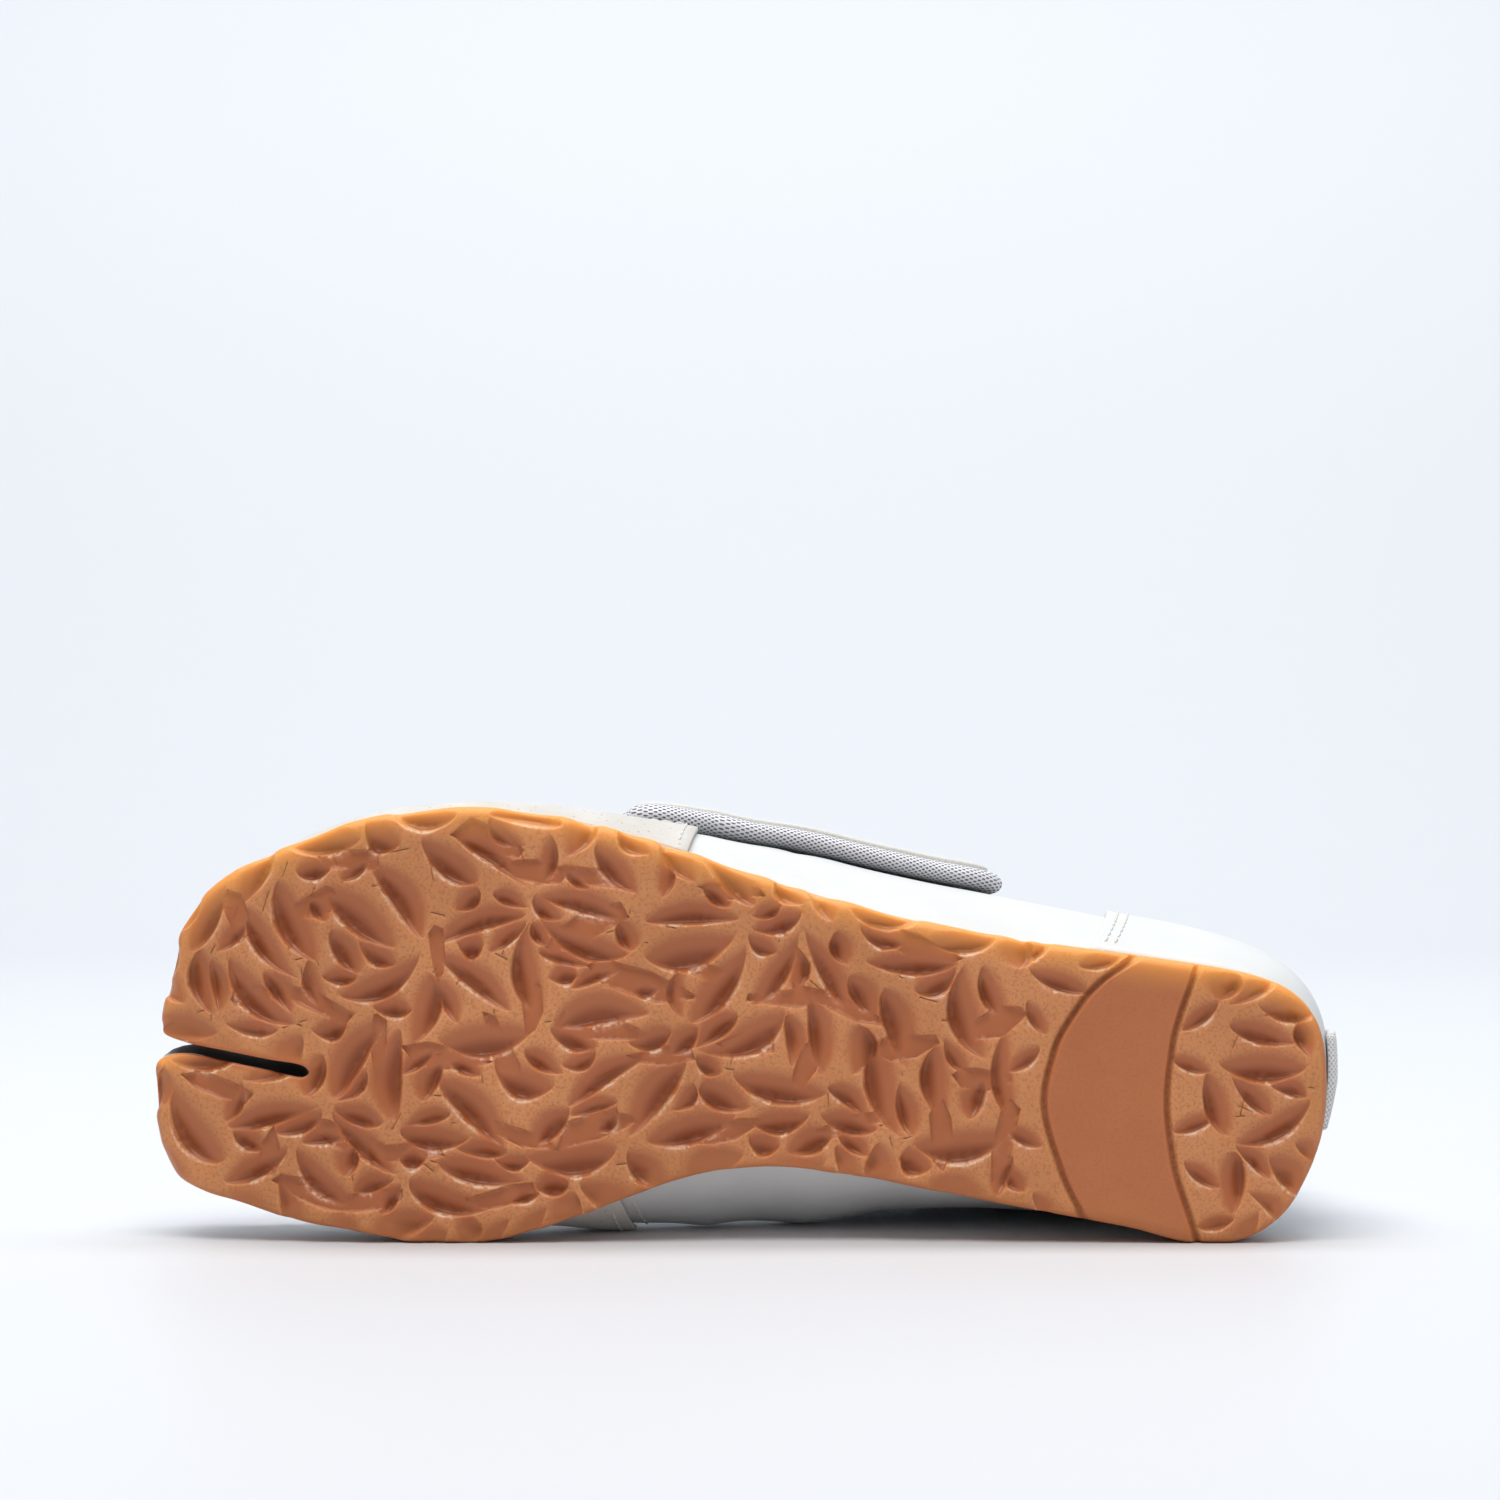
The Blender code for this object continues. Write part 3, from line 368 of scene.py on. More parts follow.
RIM = Rim(10)
HEEL = RIM.where(0, HEEL_NEAR_S, 0.2 * RIM.total, 0.8 * RIM.total)
HEEL = 0.5 * (HEEL + RIM.where(0, HEEL_NEAR_S, HEEL + 1.0, 0.8 * RIM.total))
TIPS = {
    "outer": RIM.where(1, TIP_W["outer"], TIP_NEAREST, TIP_FARTHEST),
    "inner": RIM.where(1, TIP_W["inner"], RIM.total - TIP_FARTHEST, RIM.total - TIP_NEAREST),
}
SIDE_LENGTHS = {
    side: (RIM.where(0, CLEFT_FOOT_S, tip, HEEL), RIM.where(0, THROAT_S, tip, HEEL), HEEL)
    for side, tip in TIPS.items()
}


# Skin of the upper
def upright(height):
    """Step straight up."""
    return Vector((0.0, 0.0, height))


def level(a, b):
    """Level step from a to b."""
    return Vector((b.x - a.x, b.y - a.y, 0.0))


def feather(length):
    """Foot of the upper at a length along the rim, and its outward direction."""
    out = RIM.outward(length)
    foot = RIM.at(length) - out * FEATHER_INSET
    spot = Vector((foot.x, foot.y, SOLE_SIDE.at(foot.x)["top"] + FEATHER_GAP))
    if length <= 0.0 or length >= RIM.total:
        spot = Vector(VALLEY_FOOT)
    return spot, Vector((out.x, out.y, 0.0))


def on_floor(point):
    """Keeps a point of the skin above the floor the shoe lies on, which leaves its resting flat."""
    return Vector((point.x, max(point.y, point.z * DRAFT), point.z))


def wall_frame(side, p):
    """The four control points of a wall of the upper at position p."""
    i = 0 if p < 1 else 1
    start, end = SIDE_LENGTHS[side][i:i + 2]
    foot, out = feather(start + (end - start) * (p - i))
    row = WALLS[side].at(p)
    crest = Vector((row["crest_s"], row["crest_w"], row["crest_u"]))
    height = crest.z - foot.z
    shoulder = foot + out * row["bulge"] + upright(height * row["rise"])
    over = crest + level(crest, foot) * row["share"] + out * row["reach"] - upright(height * row["drop"])
    return foot, shoulder, over, crest


def wall(side, p, t):
    """Point of the upper's wall, t running from the featherline to the crest."""
    return on_floor(bezier(*wall_frame(side, p), t))


def crown(side, p, v):
    """Point between the crest of one side (v = 0) and the middle of the vamp (v = 1)."""
    over, crest = wall_frame(side, p)[2:]
    row = CENTRE.at(p)
    middle = Vector((row["s"], row["w"], row["u"]))
    steep = row["steep"]
    across = level(middle, crest)
    onward = (crest - over).normalized()
    rising = upright((crest.z - middle.z) * VALLEY_RISE) * steep
    rising += across * (VALLEY_OPEN * steep + MIDDLE_SHARE * (1 - steep))
    turning = across * -CLEFT_SHARE * steep + onward * CREST_SHARE * (crest - middle).length * (1 - steep)
    return bezier(crest, crest + turning, middle + rising, middle, v)


def skin(side, p, t):
    """Point of the skin: t up to 1 climbs the wall, and from 1 to 2 crosses the crown to its middle."""
    return wall(side, p, t) if t <= 1 else crown(side, p, t - 1)


def skin_normal(side, p, t):
    """Outward direction of the skin."""
    along = skin(side, min(p + SKIN_STEP, 2.0), t) - skin(side, p - SKIN_STEP, t)
    up = skin(side, p, t + SKIN_STEP) - skin(side, p, max(t - SKIN_STEP, 0.0))
    normal = along.cross(up).normalized()
    return normal if side == "outer" else -normal


def lobe(side, k):
    """Meridian of a toe lobe: k from -1 on the cleft, through 0 at the tip, to 1 on the shoe's side."""
    tip, home = TIPS[side], SIDE_LENGTHS[side][0]
    cleft = 0.0 if side == "outer" else RIM.total
    foot, out = feather(tip + (home - tip) * k if k > 0 else tip + (cleft - tip) * -k)
    ridge = RIDGES[side].at(abs(k))
    crest = Vector((ridge["s"], ridge["w"], ridge["u"]))
    height = crest.z - foot.z
    depth = level(crest, foot)
    home_row = WALLS[side].at(0.0)
    to_side, to_cleft = max(k, 0.0), max(-k, 0.0)
    bulge = home_row["bulge"] * to_side + CLEFT_SWELL.at(to_cleft)[side]
    share = LOBE_SHARE + (home_row["share"] - LOBE_SHARE) * to_side + (CLEFT_SHARE - LOBE_SHARE) * to_cleft
    shoulder = foot + out * bulge + upright(height * LOBE_RISE)
    if k < -VALLEY_START:
        valley = foot - depth * VALLEY_OPEN + upright(height * VALLEY_RISE)
        shoulder = shoulder.lerp(valley, (-k - VALLEY_START) / (1 - VALLEY_START))
    return foot, shoulder, crest + depth * share, crest


# Pieces, sheets and shells
def lay(point):
    """Where a point of the shoe's frame lies, in metres; nothing reaches below the floor."""
    up = point.y * math.cos(LEAN) - point.z * math.sin(LEAN)
    depth = point.y * math.sin(LEAN) + point.z * math.cos(LEAN) - LIE_DEPTH
    return Vector((LIE_LENGTH - point.x, depth, max(up, FLOOR_CLEAR))) * MM


def add(name, data):
    """New object of some data, in the scene."""
    made = bpy.data.objects.new(name, data)
    bpy.context.scene.collection.objects.link(made)
    return made


def add_mesh(name, mesh, finish):
    """New smooth object of a mesh, with its material."""
    data = bpy.data.meshes.new(name)
    mesh.to_mesh(data)
    mesh.free()
    data.materials.append(finish)
    data.shade_smooth()
    return add(name, data)


def place(name, mesh, finish, slot, *nodes):
    """Piece of a mesh in the shoe's frame: laid down, smooth, riding on the shoe."""
    for vert in mesh.verts:
        vert.co = lay(vert.co)
    made = add_mesh(name, mesh, finish)
    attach(made, "root")
    if nodes:
        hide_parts(*nodes)
    return made


def sheet(patches):
    """Open mesh of patches, welded where they meet; weave holds millimetres along rows and columns."""
    mesh = bmesh.new()
    weave = mesh.verts.layers.float_vector.new("weave")
    for grid, turn in patches:
        down = lengths([row[len(row) // 2] for row in grid])
        along = lengths(grid[len(grid) // 2])
        verts = []
        for i, row in enumerate(grid):
            verts.append([mesh.verts.new(point) for point in row])
            for j, vert in enumerate(verts[-1]):
                vert[weave] = (down[i], along[j], 0.0)
        for row, onward in zip(verts, verts[1:]):
            for j in range(len(row) - 1):
                face = [row[j], onward[j], onward[j + 1], row[j + 1]]
                mesh.faces.new(face if turn > 0 else face[::-1])
    bmesh.ops.remove_doubles(mesh, verts=mesh.verts[:], dist=0.01)
    bmesh.ops.dissolve_degenerate(mesh, edges=mesh.edges[:], dist=0.01)
    mesh.normal_update()
    return mesh


def lift(mesh, distance):
    """Moves a sheet along its normals; distance depends on the point."""
    moved = [vert.co + vert.normal * distance(vert.co) for vert in mesh.verts]
    for vert, spot in zip(mesh.verts, moved):
        vert.co = spot
    mesh.normal_update()
    return mesh


def open_edges(flat):
    """Loops of an open sheet's boundary edges."""
    return [edge.link_loops[0] for edge in flat.edges if edge.is_boundary]


def shell(flat, low, top, bulge, rounds=4):
    """Closed shell between two distances from an open sheet; its edges bulge out in a round.

    The upper distance is one number, or depends on the corner of the sheet.  sunk runs from 0 on the upper
    face, round the edge, to 1 on the lower face.
    """
    flat.verts.index_update()
    highs = [top(vert) if callable(top) else top for vert in flat.verts]
    source = flat.verts.layers.float_vector["weave"]
    made = bmesh.new()
    weave = made.verts.layers.float_vector.new("weave")
    sunk = made.verts.layers.float.new("sunk")

    def copy(vert, spot, deep, onward=Vector()):
        fresh = made.verts.new(spot)
        fresh[weave] = vert[source] + onward
        fresh[sunk] = deep
        return fresh

    under = [copy(vert, vert.co + vert.normal * low, 1.0) for vert in flat.verts]
    over = [copy(vert, vert.co + vert.normal * high, 0.0) for vert, high in zip(flat.verts, highs)]
    for face in flat.faces:
        made.faces.new([over[vert.index] for vert in face.verts])
        made.faces.new([under[vert.index] for vert in reversed(face.verts)])
    outward, drift, rims = {}, {}, []
    for loop in open_edges(flat):
        a, b = loop.vert, loop.link_loop_next.vert
        out = (b.co - a.co).cross(loop.face.normal).normalized()
        rims.append((a, b))
        behind = (loop.link_loop_prev.vert, loop.link_loop_next.link_loop_next.vert)
        for vert, inner in zip((a, b), behind):
            outward[vert] = outward.get(vert, Vector()) + out
            drift[vert] = drift.get(vert, Vector()) + (vert[source] - inner[source]).normalized()
    rings = {}
    for vert, out in outward.items():
        high = highs[vert.index]
        ring = [under[vert.index]]
        for i in range(1, rounds):
            angle = math.pi * (i / rounds - 0.5)
            height = (low + high) / 2 + (high - low) / 2 * math.sin(angle)
            spot = vert.co + vert.normal * height + out.normalized() * bulge * math.cos(angle)
            onward = (math.pi / 2 - angle) * (bulge + high - low) / 2
            ring.append(copy(vert, spot, 1 - i / rounds, drift[vert].normalized() * onward))
        rings[vert] = ring + [over[vert.index]]
    for a, b in rims:
        for i in range(rounds):
            made.faces.new([rings[a][i], rings[b][i], rings[b][i + 1], rings[a][i + 1]])
    flat.free()
    return made


def sweep(mesh, line, normals, profile, closed=False):
    """Strip of a closed profile carried along a line; profile holds (side, height) pairs."""
    count = len(line)
    rings = []
    for i, (spot, normal) in enumerate(zip(line, normals)):
        before = line[i - 1] if closed or i else spot
        after = line[(i + 1) % count] if closed or i < count - 1 else spot
        side = (after - before).cross(normal).normalized()
        rings.append([mesh.verts.new(spot + side * a + normal * b) for a, b in profile])
    for i in range(count if closed else count - 1):
        ring, onward = rings[i], rings[(i + 1) % count]
        for j in range(len(profile)):
            k = (j + 1) % len(profile)
            mesh.faces.new([ring[j], onward[j], onward[k], ring[k]])
    if not closed:
        mesh.faces.new(rings[0])
        mesh.faces.new(rings[-1][::-1])
    return mesh


def oval(width, height, count=12):
    """Profile of a round cord, flattened."""
    turns = [2 * math.pi * i / count for i in range(count)]
    return [(width / 2 * math.cos(turn), height / 2 * math.sin(turn)) for turn in turns]


# Materials
def finish(name, colour, roughness, **sockets):
    """Principled material with its constant values set on the shader's own sockets."""
    made = bpy.data.materials.new(name)
    made.use_nodes = True
    shader = made.node_tree.nodes["Principled BSDF"]
    shader.inputs["Base Color"].default_value = (*colour, 1.0)
    shader.inputs["Roughness"].default_value = roughness
    for socket, value in sockets.items():
        shader.inputs[socket.replace("_", " ")].default_value = value
    return made, made.node_tree, shader


def feed(tree, shader, **sockets):
    """Links values to the shader's inputs."""
    for name, value in sockets.items():
        tree.links.new(value, shader.inputs[name.replace("_", " ")])


def node(tree, kind, **values):
    """Node with its settings and inputs; an input given a socket is linked to it."""
    made = tree.nodes.new("ShaderNode" + kind)
    for name, value in values.items():
        if name in made.bl_rna.properties:
            setattr(made, name, value)
            continue
        key = int(name[1:]) if name[0] == "i" and name[1:].isdigit() else name
        if isinstance(value, bpy.types.NodeSocket):
            tree.links.new(value, made.inputs[key])
        else:
            made.inputs[key].default_value = value
    return made


def spots(tree):
    """Coordinates of the shoe, in metres."""
    return node(tree, "TexCoord").outputs["Object"]


def noise(tree, scale, detail=3.0):
    """Noise with features of about one over scale metres."""
    return node(tree, "TexNoise", Vector=spots(tree), Scale=scale, Detail=detail).outputs["Fac"]


def ramp(tree, value, low, high, from_low=0.0, from_high=1.0):
    """Value moved smoothly from one range into another."""
    return node(tree, "MapRange", interpolation_type="SMOOTHSTEP", i0=value, i1=from_low, i2=from_high,
                i3=low, i4=high).outputs["Result"]


def mix(tree, share, first, second):
    """Colour between two colours or colour sockets."""
    made = node(tree, "Mix", data_type="RGBA", i0=share)
    for index, value in ((6, first), (7, second)):
        if isinstance(value, bpy.types.NodeSocket):
            tree.links.new(value, made.inputs[index])
        else:
            made.inputs[index].default_value = (*value, 1.0)
    return made.outputs[2]


def reckon(tree, operation, a, b=0.0):
    """Arithmetic on two values or sockets."""
    return node(tree, "Math", operation=operation, i0=a, i1=b).outputs[0]


def read(tree, name):
    """Float value that the mesh holds at each point."""
    return node(tree, "Attribute", attribute_name=name).outputs["Fac"]


def bump(tree, shader, height, depth, strength=1.0):
    """Relief of a height between 0 and 1 over a depth in millimetres."""
    feed(tree, shader, Normal=node(tree, "Bump", Height=height, Distance=depth * MM,
                                   Strength=strength).outputs["Normal"])


def white_leather():
    """Smooth white leather with a fine pebble and faint tone."""
    made, tree, shader = finish("scene_white_leather", (0.71, 0.72, 0.715), 0.42, Coat_Weight=0.1,
                                Coat_Roughness=0.35)
    tone = ramp(tree, noise(tree, 55.0, 4.0), 0.0, 1.0, 0.3, 0.7)
    cells = node(tree, "TexVoronoi", Vector=spots(tree), Scale=1150.0, feature="SMOOTH_F1")
    pebble = reckon(tree, "MULTIPLY", noise(tree, 420.0), 0.6)
    bump(tree, shader, reckon(tree, "ADD", cells.outputs["Distance"], pebble), 0.07, 0.5)
    feed(tree, shader, Base_Color=mix(tree, tone, (0.69, 0.705, 0.70), (0.73, 0.742, 0.737)),
         Roughness=ramp(tree, noise(tree, 160.0), 0.36, 0.5))
    return made


def sand_suede():
    """Cream suede: nap, soft patches and fine dark pinholes, with painted shade in the cleft between the
    toes.
    """
    made, tree, shader = finish("scene_sand_suede", (0.66, 0.63, 0.585), 0.92, Sheen_Weight=0.2,
                                Sheen_Roughness=0.5)
    patches = ramp(tree, noise(tree, 70.0, 5.0), 0.0, 1.0, 0.35, 0.65)
    colour = mix(tree, patches, (0.62, 0.59, 0.545), (0.69, 0.665, 0.625))
    nap = noise(tree, 1900.0, 2.0)
    colour = mix(tree, ramp(tree, nap, 0.0, 0.3, 0.4, 0.75), colour, (0.52, 0.48, 0.43))
    dots = node(tree, "TexVoronoi", Vector=spots(tree), Scale=420.0).outputs["Distance"]
    holes = ramp(tree, dots, 0.7, 0.0, 0.06, 0.15)
    colour = mix(tree, holes, colour, (0.27, 0.24, 0.20))
    # Painted shade: near black where the toe cap holds shade in the cleft between the toes.
    feed(tree, shader, Base_Color=mix(tree, read(tree, "shade"), colour, (0.035, 0.027, 0.022)))
    bump(tree, shader, reckon(tree, "SUBTRACT", nap, holes), 0.10, 0.8)
    return made


KNIT_SWAY = 1.2


def knit(name, thread, hollow, gloss, pitch, dark=0.0):
    """Knitted mesh: raised glossy thread round small holes in staggered rows; dark sets the painted shade on
    the lower half of its rolled edges and on its underside.
    """
    made, tree, shader = finish(name, thread, gloss, Sheen_Weight=0.15)
    weave = node(tree, "Attribute", attribute_name="weave").outputs["Vector"]
    parts = node(tree, "SeparateXYZ", Vector=weave)
    sway = reckon(tree, "MULTIPLY", noise(tree, 420.0, 1.0), KNIT_SWAY)
    waves = []
    for axis in "XY":
        turn = reckon(tree, "MULTIPLY", parts.outputs[axis], 2 * math.pi / pitch)
        waves.append(reckon(tree, "COSINE", reckon(tree, "ADD", turn, sway)))
    holes = ramp(tree, reckon(tree, "MULTIPLY", *waves), 0.0, 1.0, -0.05, 0.75)
    fray = reckon(tree, "MULTIPLY", noise(tree, 1700.0), 0.6)
    height = reckon(tree, "SUBTRACT", fray, holes)
    shade = mix(tree, ramp(tree, height, 1.0, 0.0, -0.5, 0.3), thread, hollow)
    # Painted shade: the colour darkens towards near black round the lower half of the rolled edge and on the
    # underside, up to dark.
    shade = mix(tree, ramp(tree, read(tree, "sunk"), 0.0, dark, 0.4, 0.9), shade, (0.05, 0.05, 0.052))
    feed(tree, shader, Base_Color=shade, Roughness=ramp(tree, height, 0.8, gloss, -0.4, 0.5))
    bump(tree, shader, height, 0.3, 0.9)
    return made


def spun(name, base, roughness, scale, dark, light, depth=0.0):
    """Thread or tape whose fibres lie between two tones."""
    made, tree, shader = finish(name, base, roughness)
    fibre = noise(tree, scale)
    feed(tree, shader, Base_Color=mix(tree, fibre, dark, light))
    if depth:
        bump(tree, shader, fibre, depth)
    return made


def gum_rubber():
    """Translucent gum rubber: matte sandy plateaus and smooth leaves, with painted shade that darkens the
    leaves, cuts and grooves as they deepen, painted highlights on the leaves' lips and a painted orange glow
    along the rim.
    """
    made, tree, shader = finish("scene_gum_rubber", (0.50, 0.20, 0.08), 0.5, Subsurface_Weight=0.5,
                                Subsurface_Radius=(1.0, 0.38, 0.12), Subsurface_Scale=0.003,
                                Specular_IOR_Level=0.3)
    smooth = read(tree, "smooth")
    tone = ramp(tree, noise(tree, 30.0, 4.0), 0.0, 1.0, 0.3, 0.7)
    plateau = mix(tree, tone, (0.60, 0.25, 0.10), (0.69, 0.30, 0.125))
    leaf = mix(tree, tone, (0.47, 0.152, 0.06), (0.52, 0.172, 0.07))
    sand = noise(tree, 1500.0, 4.0)
    plateau = mix(tree, ramp(tree, sand, 0.45, 0.0, 0.34, 0.52), plateau, (0.40, 0.145, 0.054))
    colour = mix(tree, smooth, plateau, leaf)
    # Painted shade: darker red-brown as the scoops, cuts and grooves deepen.
    colour = mix(tree, ramp(tree, read(tree, "deep"), 0.0, 0.6), colour, (0.25, 0.05, 0.012))
    # Painted highlight: pale on the leaves' lips, broken up by noise.
    highlight_breaks = ramp(tree, noise(tree, 900.0), 0.0, 1.0, 0.35, 0.6)
    colour = mix(tree, reckon(tree, "MULTIPLY", read(tree, "pale"), highlight_breaks), colour, (0.86, 0.62, 0.45))
    # Painted glow: orange light along the rim by the edge value.
    colour = mix(tree, reckon(tree, "MULTIPLY", read(tree, "edge"), 0.92), colour, (1.0, 0.43, 0.09))
    rough = reckon(tree, "SUBTRACT", 1.0, smooth)
    grain = reckon(tree, "ADD", sand, reckon(tree, "MULTIPLY", noise(tree, 700.0), 0.8))
    bump(tree, shader, reckon(tree, "MULTIPLY", grain, rough), 0.16, 0.8)
    gloss = reckon(tree, "ADD", 0.33, reckon(tree, "MULTIPLY", rough, 0.25))
    feed(tree, shader, Base_Color=colour, Roughness=gloss)
    return made


# Tread: leaves strewn over the sole, each one scooped out so that it deepens towards the inner side.
LEAF_SKEWS = (0.75, 1.35)
LEAF_BEND = 0.13
LEAF_BEND_MEAN = 0.67
LEAF_TIP_GAP = 0.945
LEAF_BLUNT = 0.8
LEAF_NEAR = 49.8
LEAF_WIDEST = 7.8
SPINE_STEPS = 10
LEAF_RULES = (
    {"seed": 5, "tries": 5000, "longest": 24.0, "shortest": 12.0, "widths": (4.8, LEAF_WIDEST),
     "clearance": 0.9, "margin": 3.2},
    {"seed": 8, "tries": 2600, "longest": 19.0, "shortest": 9.0, "widths": (4.6, 7.4),
     "clearance": 0.0, "rim": (0.0, 0.09)},
    {"seed": 12, "tries": 4500, "longest": 14.0, "shortest": 7.0, "widths": (3.8, 6.4),
     "clearance": -1.1, "margin": 0.0},
)
SOLE_MIDDLE = Vector((132.0, 45.0))
# Leaves placed one by one on the toes' fronts and beside the heel band: s, w, heading, length, width.
HAND_LEAVES = (
    (261.5, 22.5, 1.35, 11.0, 5.6), (262.0, 33.0, 1.75, 11.0, 5.4), (257.5, 14.0, 0.95, 10.0, 5.0),
    (260.6, 52.0, 1.45, 9.5, 5.0), (258.8, 62.5, 1.80, 11.0, 5.4), (254.0, 73.5, 2.05, 10.0, 5.0),
    (59.5, 58.5, 0.35, 15.0, 6.4), (50.5, 63.0, -0.25, 11.0, 5.4), (64.5, 50.0, 1.05, 9.0, 5.0),
    (66.0, 65.0, 2.6, 11.0, 5.6), (62.5, 8.5, 0.75, 9.0, 5.0), (68.0, 41.0, 2.5, 9.5, 5.2),
    (67.5, 24.0, 0.5, 9.5, 5.2), (29.0, 50.5, 2.5, 11.0, 5.2), (30.6, 40.0, 0.35, 10.0, 5.0),
    (30.2, 27.0, 2.75, 11.0, 5.2), (28.0, 15.5, 0.6, 10.5, 5.4), (25.5, 5.0, 2.9, 9.0, 4.6),
)
CUT_BLUNT = 0.6
CUT_SWELL = 1.36
CUT_SHORT = 0.92
LINE_PITCH = 0.7
LIP_LINE = 0.4
SLOPE_LINES = (0.16, 0.36, 0.56, 0.76, 0.9)
SCOOP_FULL = 3.1
SCOOP_BOW = 1.6
SCOOP_ROUND = 5.0
SCOOP_FADE = 0.9
SCOOP_NARROW = 0.7
LIP = 0.14
# Width of the painted highlight beyond each leaf's low edge.
PALE_WIDTH = 0.55
HOLLOWS = {
    "seed": 21, "tries": 420, "keep": 40, "from": 70.0, "headings": (0.05, 0.05, 1.5), "swing": 0.5,
    "lengths": (13.0, 30.0), "widths": (4.5, 8.0), "corners": 7, "turn": 0.35, "reach": (0.65, 1.1),
    "margin": 3.0, "apart": 12.0, "depth": 1.0, "wall": 0.2,
}
# Short cuts across the plateaus; dark is the painted shade in them.
SLITS = {"seed": 31, "tries": 360, "headings": (0.1, 1.5), "swing": 0.6, "reach": (1.0, 2.8),
         "margin": 3.5, "width": 0.24, "depth": 0.5, "dark": 0.7}
# Smooth band across the heel: the stretch of s that strewn leaves and cuts keep off, and its two grooves
# from the inner rim to the outer one.
BAND_LEAVES = (27.8, 66.2)
BAND_CUTS = (24.0, 70.0)
BAND_SMOOTH = 0.8
GROOVE_WIDTH = 2.2
GROOVE_DEPTH = 1.5
GROOVE_LINES = (-1.3, -1.1, -0.5, 0.0, 0.5, 1.1, 1.3)
BAND_FRONT = Table("w s", (-2, 50), (4, 53.7), (16.2, 59.6), (31.4, 63.3), (43.3, 60.8), (50.6, 56.8),
                   (57.4, 51.2), (64, 41.5))
BAND_BACK = Table("w s", (-2, 28.5), (5, 30.8), (18, 34.6), (31, 36), (44, 34.6), (57, 30.6), (64, 27.4))


def inset_point(loop, i, distance):
    """One point of a loop moved inward."""
    return loop[i] + turned(loop[(i + 1) % len(loop)] - loop[i - 1]).normalized() * distance


def inset(loop, distance):
    """Loop moved inward; points that would come nearer to another part of it are left out."""
    moved = [inset_point(loop, i, distance) for i in range(len(loop))]
    return [q for q in moved if min((q - r).length for r in loop) > distance * 0.985 - 0.02]


def inside(point, loop):
    """Whether a plan point lies inside a loop."""
    found = False
    for a, b in zip(loop, loop[1:] + loop[:1]):
        if (a.y > point.y) != (b.y > point.y):
            if point.x < a.x + (b.x - a.x) * (point.y - a.y) / (b.y - a.y):
                found = not found
    return found


def clear(point, loop, margin):
    """Whether a plan point lies inside a loop, further from it than a margin."""
    return inside(point, loop) and min((point - q).length for q in loop) > margin


def grow(ring, spacing):
    """Loop with points no further apart than a spacing."""
    fine = []
    for a, b in zip(ring, ring[1:] + ring[:1]):
        count = max(1, round((b - a).length / spacing))
        fine += [a.lerp(b, i / count) for i in range(count)]
    return fine


def heading_step(heading):
    """Plan step of length 1 in a heading."""
    return Vector((math.cos(heading), math.sin(heading)))


def leaf_half(leaf, t):
    """Half width of a leaf, from tip (t = 0) to tip (t = 1); its skew moves the widest place."""
    return leaf["width"] / 2 * math.sin(math.pi * t ** leaf["skew"]) ** leaf["blunt"] if 0 < t < 1 else 0.0


def leaf_axes(leaf):
    """Directions along a leaf and across it, the second one towards its high side."""
    along = heading_step(leaf["heading"])
    across = turned(along)
    return along, across if across.y > 0 else -across


def leaf_place(leaf, t, b):
    """Plan point of a leaf: t runs from tip to tip, b from -1 on its low edge to 1 on its high edge."""
    along, across = leaf_axes(leaf)
    length = leaf["length"]
    bend = leaf["bend"] * length * (4 * t * (1 - t) - LEAF_BEND_MEAN)
    return leaf["centre"] + along * (t - 0.5) * length + across * (bend + leaf_half(leaf, t) * b)


def leaf_fits(spine, others, loop, rule):
    """Whether a leaf lies whole on the tread, off the heel band and clear of other leaves."""
    if any(q.x + radius > BAND_LEAVES[0] and q.x - radius < BAND_LEAVES[1] for q, radius in spine):
        return False
    for other in others:
        if any((q - r).length < a + b + rule["clearance"] for q, a in spine for r, b in other):
            return False
    return "rim" in rule or all(clear(q, loop, radius + rule["margin"]) for q, radius in spine)


def strew(loop, rule, spines):
    """Leaves strewn by a rule, clear of those in place; spines are the circles that fill each leaf."""
    chance = random.Random(rule["seed"])
    found = []
    for i in range(rule["tries"]):
        leaf = {
            "length": rule["longest"] + (rule["shortest"] - rule["longest"]) * i / rule["tries"],
            "width": chance.uniform(*rule["widths"]),
            "skew": chance.uniform(*LEAF_SKEWS),
            "blunt": LEAF_BLUNT,
            "bend": chance.uniform(-LEAF_BEND, LEAF_BEND),
            "heading": chance.uniform(0.0, 2 * math.pi),
            "centre": Vector((chance.uniform(0.0, SOLE_LENGTH), chance.uniform(0.0, SOLE_WIDTH))),
        }
        if "rim" in rule:
            edge = loop[chance.randrange(len(loop))]
            leaf["centre"] = edge.lerp(SOLE_MIDDLE, chance.uniform(*rule["rim"]))
        elif i % 2 and spines:
            tip = chance.choice(spines)[chance.choice((0, -1))][0]
            start = leaf_place(leaf, 0.0, 0) - leaf_axes(leaf)[0] * LEAF_TIP_GAP
            leaf["centre"] += tip - start
        spine = [(leaf_place(leaf, t, 0), leaf_half(leaf, t)) for t in steps(SPINE_STEPS)]
        near = [other for other in spines if (other[0][0] - spine[0][0]).length < LEAF_NEAR]
        if leaf_fits(spine, near, loop, rule):
            found.append(leaf)
            spines.append(spine)
    return found


def cut_leaf(leaf):
    """A leaf as it is cut: plumper and blunter than the room it was given."""
    return {**leaf, "width": leaf["width"] * CUT_SWELL, "length": leaf["length"] * CUT_SHORT,
            "blunt": CUT_BLUNT}


def hand_leaf(s, w, heading, length, width):
    """One of the listed leaves, placed one by one."""
    return {"length": length, "width": width, "skew": 1.0, "blunt": CUT_BLUNT, "bend": 0.0,
            "heading": heading, "centre": Vector((s, w))}


